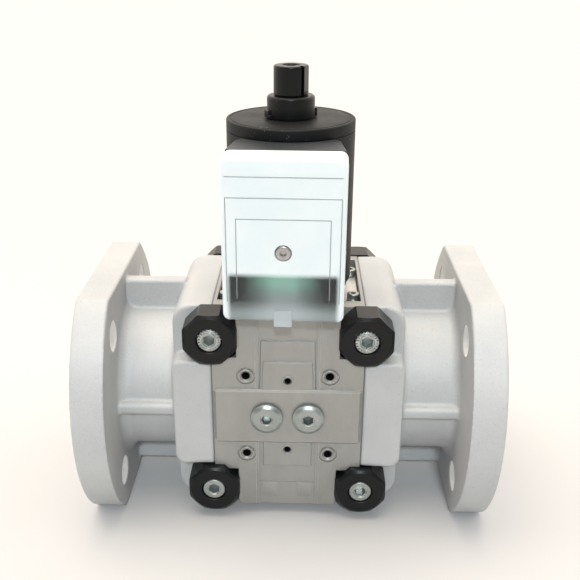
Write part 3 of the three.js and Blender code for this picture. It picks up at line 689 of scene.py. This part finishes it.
def plate_reliefs():
    """Raised steps, blank pads and bosses of the front and rear plates."""
    front = BELLY_FACE
    reliefs = []
    for half, low, high, face in ((14.9, 0, 46.3, front - 0.1), (13.7, 0, 34.1, front + 0.9),
                                  (13.9, -33.5, 0, front - 0.1)):
        flare = 1.2 if low == 0 else 0
        outline = rounded([(-half - flare, low), (half + flare, low), (half, high), (-half, high)], 0.5, 3,
                          closed=True)
        reliefs += two_sided(lambda: turned(prism("relief", outline, 40, face, 0.8, 1), 90, "X"))
    for x in (-10.0, 10.6):
        left, right = x - 4.6, x + 4.6
        outline = rounded([(left, -55), (right, -55), (right, -45.9), (left, -45.9)], 0.4, 3, closed=True)
        reliefs += two_sided(lambda: turned(prism("pad", outline, 40, COLUMN_FACE + 0.6, 0.3), 90, "X"))
    for x, z, radius, face, edge in [*((x, z, 4.4, front + 0.8, 0.5) for x, z in TAPPED_M5),
                                     *((0, z, 3.5, face, 0.4) for z, face in SMALL_HOLES)]:
        boss = rounded([(0, 45), (radius, 45), (radius, face), (0, face)], [0, 0, edge, 0], 3)
        reliefs += two_sided(lambda: moved(along_minus_y(lathe("boss", boss, 40)), x=x, z=z))
    return reliefs


def drilled_holes():
    """Countersunk tapped holes and the holes of the test plugs."""
    tools = []
    for x, z, radius, flare, mouth in [*((x, z, M5_R, 3.4, BELLY_FACE + 0.8) for x, z in TAPPED_M5),
                                       *((0, z, SMALL_R, 2.6, face) for z, face in SMALL_HOLES)]:
        profile = [(0, TAP_FLOOR), (radius, TAP_FLOOR), (radius, mouth - 0.9), (flare, mouth + 0.05),
                   (flare, 60), (0, 60)]
        tools += two_sided(lambda: moved(along_minus_y(lathe("drill", profile, 32)), x=x, z=z))
    for side in (-1, 1):
        tools += two_sided(lambda: moved(along_minus_y(rod("plug_hole", 5.9, 33, 60, 32)), x=side * PLUG_X))
    return tools


def body_hollows():
    """Deck pocket, gas chambers, ports, seat and the holes of the clamp bolts."""
    tools = [block("pocket", (-SEAM + 1.85, -32.5, 53), (SEAM - 1.85, 32.5, DECK + 3)),
             block("inlet_chamber", (-34, -30, -45), (26, 30, -6), 2),
             block("outlet_chamber", (-26, -30, 2), (34, 30, 44), 2)]
    tools += [along_x(rod("port", BORE_R, side * 36 - 7, side * 36 + 7, 96)) for side in (-1, 1)]
    tools += [rod("seat_bore", 21, -7, 3, 64), rod("seat_recess", 25, -3, 3, 64),
              rod("stem_way", 22, 43, 54, 64)]
    tools += [moved(turned(rod("clamp_hole", CLAMP_HOLE_R, -70, 70, 24), 90, "X"), x=x, z=z)
              for x, z in corners(CLAMP_X, CLAMP_Z)]
    return tools


def painted_hole_shades():
    """Near-black sleeves inside the tapped holes: painted shade for the dark inside of the deep holes."""
    floor = TAP_FLOOR + 0.02
    for x, z, hole, mouth in [*((x, z, M5_R, BELLY_FACE - 0.1) for x, z in TAPPED_M5),
                              *((0, z, SMALL_R, face - 0.9) for z, face in SMALL_HOLES)]:
        outside, inside = hole - 0.02, hole - 0.3
        profile = [(0, floor), (outside, floor), (outside, mouth), (inside, mouth), (inside, TAP_FLOOR + 0.4),
                   (0, TAP_FLOOR + 0.4)]
        for sleeve in two_sided(lambda: moved(along_minus_y(lathe("painted_hole_shade", profile, 32)), x=x, z=z)):
            settle(sleeve, "valve", MAT["hole_shade"], "die_cast_aluminium")


def body_block():
    x = SEAM
    solid = block("valve_body_block", (-x, -BLOCK_FACE, PLATE_LOW), (x, BLOCK_FACE, DECK), 0.5)
    belly = block("belly", (-x, -BELLY_FACE, -BELLY_HALF - 3), (x, BELLY_FACE, BELLY_HALF + 3), 0.5)
    plate_outline = rounded([(-PLATE_HALF, PLATE_LOW), (PLATE_HALF, PLATE_LOW), (PLATE_HALF, DECK - 0.6),
                             (-PLATE_HALF, DECK - 0.6)], [2.5, 2.5, 1, 1], 4, closed=True)
    plate = turned(prism("plate", plate_outline, -BELLY_FACE, BELLY_FACE, 0.5), 90, "X")
    band = front_band()
    boolean(solid, [belly, plate], "UNION")
    boolean(solid, octagon_nests())
    boolean(solid, plate_cuts())
    boolean(solid, plate_reliefs(), "UNION")
    boolean(solid, [band], "UNION")
    boolean(solid, drilled_holes() + body_hollows())
    painted_hole_shades()
    settle(solid, "valve", MAT["body"], "die_cast_aluminium", ["valve_body", "seat_partition"])


# ------ clamps and plugs
def cap_mesh():
    length = CLAMP_FACE - CLAMP_SEAT
    outline = rounded(regular(8, CLAMP_FLATS), 1.2, 3, closed=True)
    solid = prism("clamp_cap", outline, 0, length, 0.3)
    reach = CLAMP_FLATS / 2 / math.cos(math.pi / 8) + 0.3
    cone = lathe("cone", rounded([(0, -1), (reach, -1), (reach, length - 2.4), (13.2, length), (0, length)],
                                 [0, 0, 0.4, 0.5, 0], 3), 96)
    boolean(solid, [cone], "INTERSECT")
    well = lathe("well", [(0, 8), (7.0, 8), (7.0, length - 0.6), (7.5, length + 0.1), (7.5, length + 2),
                          (0, length + 2)], 64)
    return boolean(solid, [well, rod("through", CLAMP_HOLE_R, -1, 10, 32)])


def bolt_mesh(serrated):
    head = lathe("bolt", rounded([(0, -100), (4, -100), (4, 0), (6.45, 0), (6.45, 8), (0, 8)],
                                 [0, 0.6, 0, 0.3, 0.7, 0], 3), 72)
    tools = [prism("socket", regular(6, 6.0), 2.6, 9),
             lathe("lead", [(0, 7.3), (3.45, 7.3), (4.0, 8.2), (0, 8.2)], 36)]
    if serrated:
        tools += [turned(block("notch", (4.6, -0.32, 7.1), (8, 0.32, 9)), 360 / 20 * i, "Z")
                  for i in range(20)]
        tools += [lathe("ring", [(4.3, 7.5), (4.9, 7.5), (4.9, 9), (4.3, 9)], 48)]
    return boolean(head, tools)


def copies(master, name, transforms):
    """A copy of the master for each (label, matrix), and then the master is gone."""
    for label, matrix in transforms:
        piece = duplicate(master, f"{name}_{label}")
        piece.data.transform(matrix)
        yield label, piece
    bpy.data.objects.remove(master)


def clamps():
    toward_front = Matrix.Rotation(math.radians(90), 4, "X")
    toward_rear = Matrix.Rotation(math.radians(-90), 4, "X")
    caps, bolts, nuts = [], [], []
    for tag, sx, sz in (("upper_inlet", -1, 1), ("upper_outlet", 1, 1), ("lower_inlet", -1, -1),
                        ("lower_outlet", 1, -1)):
        x, z = sx * CLAMP_X, sz * CLAMP_Z
        spin = Matrix.Rotation(random.uniform(0, TAU), 4, "Z")
        caps.append((f"front_{tag}", Matrix.Translation((x, -CLAMP_SEAT, z)) @ toward_front))
        caps.append((f"rear_{tag}", Matrix.Translation((x, CLAMP_SEAT, z)) @ toward_rear))
        bolts.append((tag, Matrix.Translation((x, -BOLT_SEAT, z)) @ toward_front @ spin))
        nuts.append((tag, Matrix.Translation((x, BOLT_SEAT, z)) @ toward_rear))
    for label, piece in copies(cap_mesh(), "cap", caps):
        settle(piece, "valve", MAT["cap"], "black_plastic", [f"clamp_cap_{label}"], crease=30, weighted=True)
    for row, serrated in (("upper", True), ("lower", False)):
        wanted = [bolt for bolt in bolts if bolt[0].startswith(row)]
        for label, piece in copies(bolt_mesh(serrated), "bolt", wanted):
            settle(piece, "valve", MAT["zinc"], "zinc_plated_steel", [f"clamp_bolt_{label}"], crease=35)
    nut = lathe("nut", rounded([(4.3, 0), (6.5, 0), (6.5, 8), (4.3, 8)], [0.3, 0.4, 0.8, 0.3], 3,
                               closed=True), 64)
    for label, piece in copies(nut, "nut", nuts):
        settle(piece, "valve", MAT["zinc"], "zinc_plated_steel", [f"clamp_nut_{label}"], crease=35)


def test_plugs():
    profile = [(0, -18), (5.6, -18), (5.6, 0), (9.1, 0), (9.1, 1.0), (7.0, 2.35), (0, 2.5)]
    plug = lathe("plug", rounded(profile, [0, 0.6, 0, 0.2, 1.2, 1.2, 0], 6), 96)
    boolean(plug, [prism("socket", regular(6, 5.6), -4, 4), lathe("lead", [
        (0, 1.9), (3.2, 1.9), (3.9, 2.7), (0, 2.7)], 36)])
    face = BAND_FACE + 1.2
    places = []
    for tag, x in (("inlet", -PLUG_X), ("outlet", PLUG_X)):
        for side, turn in (("front", 90), ("rear", -90)):
            matrix = Matrix.Translation((x, -face if side == "front" else face, 0))
            matrix = matrix @ Matrix.Rotation(math.radians(turn), 4, "X")
            places.append((f"{side}_{tag}", matrix @ Matrix.Rotation(random.uniform(0, 1), 4, "Z")))
    for label, piece in copies(plug, "plug", places):
        settle(piece, "valve", MAT["zinc"], "zinc_plated_steel", [f"test_plug_{label}"], crease=35)


# ------ damper and adjuster
def damper():
    low, high = DAMPER_LOW, DAMPER_HIGH
    shell = lathe("damper_shell", rounded([(6.3, low), (13, low), (13, high), (4.3, high), (4.3, 159.5),
                                           (6.3, 159.5)], [0.2, 0.3, 1.6, 0.3, 0, 0], 4, closed=True), 96)
    lugs = []
    for turn in (20, 200):
        lugs.append(turned(block("lug", (11, -3.2, low), (14.2, 3.2, low + 4.4), 0.5), turn, "Z"))
        lugs.append(turned(block("step", (11, 3.0, low), (13.9, 5.4, low + 2.2), 0.4), turn, "Z"))
    boolean(shell, lugs, "UNION")
    settle(shell, "valve", MAT["black"], "black_plastic", ["damper_housing"], crease=35, weighted=True)


def adjuster():
    low = DAMPER_HIGH + 0.3
    knob = lathe("adjuster_knob", rounded([(0, 160), (4, 160), (4, low), (KNOB_R, low), (KNOB_R, KNOB_HIGH),
                                           (0, KNOB_HIGH)], [0, 0.3, 0, 0.5, 1.1, 0], 4), 96)
    socket = prism("socket", regular(6, 5), KNOB_HIGH - 6, KNOB_HIGH + 1)
    dish = lathe("dish", [(0, KNOB_HIGH - 0.5), (4.6, KNOB_HIGH - 0.5), (5.0, KNOB_HIGH + 0.3),
                          (0, KNOB_HIGH + 0.3)], 48)
    slot = turned(block("slot", (KNOB_R - 2.4, -1.1, low + 0.3), (KNOB_R + 2, 1.1, KNOB_HIGH + 1)), -48, "Z")
    flat = turned(block("flat", (KNOB_R - 0.7, -6, low + 1.5), (KNOB_R + 2, 6, KNOB_HIGH + 1)), -18, "Z")
    boolean(knob, [socket, dish, slot, flat])
    settle(knob, "adjuster", MAT["black"], "black_plastic", ["flow_adjuster"], crease=35, weighted=True)


# ------ solenoid
def solenoid():
    low = HOUSING_LOW
    split = HOUSING_HIGH - 5.8
    shell = lathe("solenoid_shell", rounded([
        (17, low), (HOUSING_R, low), (HOUSING_R, split - 0.3), (HOUSING_R - 2.6, split - 0.3),
        (HOUSING_R - 2.6, low + 2.6), (17, low + 2.6)], [0.3, 1.4, 0.3, 0.3, 0, 0.3], 4, closed=True), 160)
    boolean(shell, [block("wire_window", (-8, -40, 79), (8, -28, 91))])
    settle(shell, "solenoid_head", MAT["shell"], "black_plastic", ["solenoid_housing"], crease=35)
    top = HOUSING_HIGH                   # with a fine ring groove near its rim
    cap = lathe("solenoid_top", rounded([
        (7.2, split), (HOUSING_R, split), (HOUSING_R, top), (33.4, top), (33.2, top - 0.35),
        (32.6, top - 0.35), (32.4, top), (7.2, top)], [0.2, 0.2, 1.2, 0.1, 0, 0, 0.1, 0.3], 4,
        closed=True), 160)
    settle(cap, "solenoid_head", MAT["shell"], "black_plastic", ["solenoid_cap"], crease=35)


# ------ terminal box
def box_base():
    half_front, half_rear, rear = 30.2, 27, 29
    outline = rounded([(-half_front, -BOX_BACK), (half_front, -BOX_BACK), (half_rear, -rear),
                       (half_rear - 4, -rear + 3), (-half_rear + 4, -rear + 3), (-half_rear, -rear)],
                      [0.8, 0.8, 3.5, 2, 2, 3.5], 4, closed=True)
    solid = prism("terminal_box_base", outline, BOX_LOW, BOX_HIGH, 1.2, 3)
    tray = block("tray", (-half_rear + 0.5, -BOX_BACK - 1, BOX_LOW + 3),
                 (half_rear - 0.5, -HOUSING_R - 3, BOX_HIGH - 3), 1.5)
    boolean(solid, [tray])
    boss = moved(along_minus_y(rod("boss", 4.5, HOUSING_R + 1.5, BOX_BACK - 0.5, 32)), z=COVER_SCREW_Z)
    boolean(solid, [boss], "UNION")
    tools = [rod("saddle", HOUSING_R + 0.35, BOX_LOW - 1, BOX_HIGH + 1, 160),
             moved(along_minus_y(rod("screw_hole", 2.2, 40, 55, 24)), z=COVER_SCREW_Z),
             moved(along_x(rod("entry", 8.1, half_rear - 3, half_front + 2, 48)), y=-41, z=85),
             block("wire_window", (-8, -40, 79), (8, -30, 91))]
    boolean(solid, tools)
    settle(solid, "solenoid_head", MAT["box"], "black_plastic", ["terminal_box"], crease=35, weighted=True)


def cover_lines():
    """Tools for the fine lines in the cover's front, and the dark strips that lie in them as painted shade of
    the grooves.
    """
    front = -COVER_FRONT
    lines = [((-half, half), (z, z)) for half, z in ((28.5, 141.0), (28.5, 130.6), (23.4, 119.9))]
    lines += [((side * half,) * 2, ends) for half, ends in ((28.5, (76, 130.6)), (23.4, (78, 119.9)))
              for side in (-1, 1)]
    tools, shades = [], []
    for (x0, x1), (z0, z1) in lines:
        tools.append(block("line", (x0 - 0.25, front - 1, z0 - 0.25), (x1 + 0.25, front + 0.5, z1 + 0.25)))
        shades.append(block("shade", (x0 - 0.2, front + 0.25, z0 - 0.2), (x1 + 0.2, front + 0.49, z1 + 0.2)))
    return tools, shades


def cover():
    half, low, high, wall = COVER_HALF, COVER_LOW, COVER_HIGH, 2
    outline = rounded([(-half, low), (half, low), (half, high), (-half, high)], 3.6, 6, closed=True)
    shell = turned(prism("clear_cover", outline, COVER_REAR, COVER_FRONT), 90, "X")
    bm = bmesh.new()
    bm.from_mesh(shell.data)
    rim = [e for e in bm.edges if all(abs(v.co.y + COVER_FRONT) < 1e-3 for v in e.verts)]
    bmesh.ops.bevel(bm, geom=rim, offset=1.8, segments=4, affect="EDGES", profile=0.5)
    bm.to_mesh(shell.data)
    bm.free()
    outline = rounded([(-half + wall, low + wall), (half - wall, low + wall), (half - wall, high - wall),
                       (-half + wall, high - wall)], 2.2, 5, closed=True)
    inside = turned(prism("inside", outline, COVER_REAR - 2, COVER_FRONT - wall, 0.8), 90, "X")
    boolean(shell, [inside])
    tab = block("tab", (-4.7, -69.9, 63), (4.7, -66.4, 71.5), 0.5)
    boss = moved(along_minus_y(rod("boss", 5, COVER_REAR + 1, COVER_FRONT - 1, 40)), z=COVER_SCREW_Z)
    boolean(shell, [tab, boss], "UNION")
    well = lathe("well", [(0, 50), (2.2, 50), (2.2, 65.2), (4.3, 65.2), (4.3, 68.0), (4.7, 68.5), (4.7, 72),
                          (0, 72)], 48)
    tools, shades = cover_lines()
    # Painted shade: the dark strips in the grooves, joined into one piece.
    shade = shades.pop()
    shade.name = "cover_line_shades"
    settle(boolean(shade, shades, "UNION"), "cover", MAT["line"], "clear_cover")
    boolean(shell, [moved(along_minus_y(well), z=COVER_SCREW_Z), *tools])
    settle(shell, "cover", MAT["cover"], "clear_cover", ["terminal_cover"])


def box_contents():
    """What shows through the cover: a white liner, a green terminal row and dark cable parts."""
    liner = block("white_liner", (-26.2, -49.9, 99.5), (26.2, -49.3, 146.5), 0.2)
    boolean(liner, [moved(along_minus_y(rod("hole", 5.2, 48, 52, 32)), z=COVER_SCREW_Z)])
    settle(liner, "solenoid_head", MAT["liner"], "nylon")
    lip = block("pale_lip", (-25.5, -50.6, 70.2), (25.5, -47.0, 74.6), 0.4)
    settle(lip, "solenoid_head", MAT["grey"], "nylon")
    ways, way_z = [(way - 2) * 8.4 for way in range(5)], 86
    row = block("terminal_row", (-21, -56, 76), (21, -46, 90), 0.5)
    tools = []
    for x in ways:
        tools.append(moved(along_minus_y(rod("screw_well", 2.6, 52, 58, 24)), x=x, z=way_z))
        tools.append(block("mouth", (x - 2.6, -57, 75), (x + 2.6, -51, 80)))
    boolean(row, tools)
    settle(row, "solenoid_head", MAT["nylon"], "nylon", ["terminal_block"], crease=35)
    for name, low, high, edge, finish, slot in (
            ("cable_clip_inlet", (-28.0, -62, 73), (-19.5, -56.3, 91), 1.0, "black", "black_plastic"),
            ("cable_clip_outlet", (18.0, -62, 73), (28.0, -56.3, 91), 1.0, "black", "black_plastic"),
            ("cable_sheath", (-19.0, -61.2, 73), (17.5, -56.3, 78.5), 1.6, "black", "black_plastic"),
            ("wire_tag", (-0.5, -60.5, 82), (2.0, -56.6, 90.5), 0.8, "grey", "nylon")):
        settle(block(name, low, high, edge), "solenoid_head", MAT[finish], slot, crease=35)
    for index, x in enumerate(ways):
        screw = lathe("clamp_screw", rounded([(0, 50.5), (2.2, 50.5), (2.2, 53.0), (0, 53.0)], 0.3, 2), 24)
        boolean(screw, [block("slot", (-3, -0.3, 52.4), (3, 0.3, 54))])
        screw.name = f"terminal_screw_{index + 1}"
        settle(moved(along_minus_y(screw), x=x, z=way_z), "solenoid_head", MAT["zinc"], "zinc_plated_steel",
               crease=35)


def cover_screw():
    profile = [(0, 41.5), (1.9, 41.5), (1.9, 65.5), (3.95, 65.5), (3.95, 68.2), (0, 68.2)]
    screw = lathe("cover_screw_piece", rounded(profile, [0, 0.3, 0, 0.2, 0.9, 0], 4), 64)
    boolean(screw, [prism("socket", regular(6, 3), 66.4, 69), lathe("lead", [
        (0, 67.9), (1.7, 67.9), (2.0, 68.4), (0, 68.4)], 32)])
    settle(moved(along_minus_y(screw), z=COVER_SCREW_Z), "cover", MAT["steel"], "steel", ["cover_screw"],
           crease=35)


# ------ deck hardware
def bonnet_screws():
    for index, (sx, sy) in enumerate(((-1, 1), (1, 1), (-1, -1), (1, -1))):
        low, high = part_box(f"bonnet_screw_{index + 1}")
        x, y, top = (low[0] + high[0]) / 2 / MM, (low[1] + high[1]) / 2 / MM, high[2] / MM - AXIS
        screw = lathe(f"bonnet_screw_piece_{index + 1}", rounded([
            (0, top - 14), (1.9, top - 14), (1.9, top - 4), (3.5, top - 4), (3.5, top), (0, top)],
            [0, 0.3, 0, 0.2, 0.5, 0], 3), 48)
        boolean(screw, [prism("socket", regular(6, 3), top - 2, top + 1)])
        settle(moved(screw, x=x, y=y), "valve", MAT["zinc"], "zinc_plated_steel",
               [f"bonnet_screw_{index + 1}"], crease=35)


# ------ closing spring
def closing_spring():
    """A coil between the valve disc and the bonnet plate."""
    radius, wire, turns = 12, 0.8, 5.5
    low, high, travel = 13.4, 51.8, 8
    steps, sides = 264, 12
    slope = (high - low) / (turns * TAU * radius)
    bm = bmesh.new()
    rings = []
    for step in range(steps + 1):
        angle = turns * TAU * step / steps
        outward = Vector((math.cos(angle), math.sin(angle), 0))
        along = Vector((-math.sin(angle), math.cos(angle), slope)).normalized()
        across = along.cross(outward)
        middle = radius * outward + Vector((0, 0, low + (high - low) * step / steps))
        rings.append([bm.verts.new(middle + wire * (math.cos(TAU * k / sides) * outward
                                                    + math.sin(TAU * k / sides) * across))
                      for k in range(sides)])
    for before, after in zip(rings, rings[1:]):
        for k in range(sides):
            j = (k + 1) % sides
            bm.faces.new((before[k], before[j], after[j], after[k]))
    bm.faces.new(rings[0])
    bm.faces.new(rings[-1][::-1])
    coil = settle(new_object("closing_spring_coil", bm), "valve", MAT["steel"], "steel", ["closing_spring"],
                  crease=60)
    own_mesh(coil)


# ------ CAD pieces that stay
def keep_cad_pieces():
    finishes = {
        "bright": ["bonnet_plate"],
        "steel": ["guide_tube", "fixed_core", "armature", "valve_stem", "strainer_frame",
                  "lower_yoke_plate", "upper_yoke_plate", "test_plug_washer_inlet",
                  "test_plug_washer_outlet"],
        "rubber": ["inlet_o_ring", "outlet_o_ring", "bonnet_o_ring", "disc_seal", "cover_gasket"],
        "body": ["valve_disc"],
        "brass": ["seat_ring"],
        "copper": ["coil_winding"],
        "bobbin": ["coil_bobbin"],
        "board": ["circuit_board"],
        "black": ["cable_entry_plug"],
    }
    for finish, names in finishes.items():
        for name in names:
            dress(frame["nodes"][name].data, MAT[finish], 32)


# ------ camera, light and floor
def camera():
    data = bpy.data.cameras.new("camera")
    obj = bpy.data.objects.new("camera", data)
    bpy.context.scene.collection.objects.link(obj)
    yaw, pitch, roll = 0.0377, 0.4223, -0.0027
    position = Vector((6.75, -460.46, 246.11 + AXIS))
    forward = Vector((-math.sin(yaw) * math.cos(pitch), math.cos(yaw) * math.cos(pitch), -math.sin(pitch)))
    level = Vector((math.cos(yaw), math.sin(yaw), 0))
    upward = level.cross(forward)
    right = level * math.cos(roll) + upward * math.sin(roll)
    up = upward * math.cos(roll) - level * math.sin(roll)
    matrix = Matrix((right, up, -forward)).transposed().to_4x4()
    matrix.translation = position * MM
    obj.matrix_world = matrix
    data.sensor_width = 36
    data.lens = 52.2
    data.shift_x = 0.0313
    data.shift_y = 0.0412
    data.clip_start = 0.01
    bpy.context.scene.camera = obj


def add_light(name, kind, position, power, color, size):
    """A light that points at the valve; size is an area's diameter in metres or a sun's angle in degrees."""
    data = bpy.data.lights.new(name, kind)
    if kind == "AREA":
        data.shape = "DISK"
        data.size = size
    else:
        data.angle = math.radians(size)
    data.energy = power
    data.color = color
    obj = bpy.data.objects.new(name, data)
    bpy.context.scene.collection.objects.link(obj)
    obj.location = position
    obj.rotation_euler = (Vector((0, 0, 0.1)) - Vector(position)).to_track_quat("-Z", "Y").to_euler()


def soft_sky():
    """A world that is dim in front and below and warm and bright above and behind."""
    world = bpy.data.worlds.new("studio")
    bpy.context.scene.world = world
    world.use_nodes = True
    tree = world.node_tree
    direction = tree.nodes.new("ShaderNodeTexCoord")
    split = tree.nodes.new("ShaderNodeSeparateXYZ")
    tree.links.new(direction.outputs["Generated"], split.inputs[0])
    ramp = tree.nodes.new("ShaderNodeValToRGB")
    for element, position, color in zip(ramp.color_ramp.elements, (0.3, 0.72),
                                        ((0.17, 0.19, 0.22, 1), (1.6, 1.46, 1.32, 1))):
        element.position = position
        element.color = color
    behind, above = (tree.nodes.new("ShaderNodeMath") for _ in range(2))
    for share, axis, weight in ((behind, 1, 0.5), (above, 2, 0.34)):
        share.operation = "MULTIPLY_ADD"
        share.inputs[1].default_value = weight
        tree.links.new(split.outputs[axis], share.inputs[0])
    behind.inputs[2].default_value = 0.5
    tree.links.new(behind.outputs[0], above.inputs[2])
    tree.links.new(above.outputs[0], ramp.inputs["Fac"])
    tree.links.new(ramp.outputs["Color"], tree.nodes["Background"].inputs[0])


def studio():
    bm = bmesh.new()
    bmesh.ops.create_circle(bm, cap_ends=True, segments=64, radius=6)
    floor = new_object("floor", bm)
    floor.location.z = -0.0005
    n = Nodes("pale_floor")
    n.set(Specular_IOR_Level=0.1, Roughness=0.9)
    floor.data.materials.append(n.finish(n.ramp(n.noise(3, 3), [(0.3, grey(0.535)), (0.7, grey(0.54))])))
    soft_sky()
    add_light("overhead", "SUN", (-0.15, 0.0, 1.2), 1.5, (1.0, 0.88, 0.75), 45)
    add_light("front", "SUN", (0.03, -1.2, 0.99), 1.75, (0.89, 0.96, 1.0), 6)
    add_light("left_softbox", "AREA", (-1.1, -0.25, 0.5), 1.0, (1.0, 0.98, 0.96), 0.6)
    add_light("right_softbox", "AREA", (1.1, -0.1, 0.6), 0.35, (0.97, 0.98, 1.0), 0.6)
    bpy.context.scene.view_settings.view_transform = "Standard"


camera()
studio()
random.seed(7)
flanges()
body_block()
clamps()
test_plugs()
damper()
adjuster()
solenoid()
box_base()
cover()
box_contents()
cover_screw()
bonnet_screws()
closing_spring()
keep_cad_pieces()
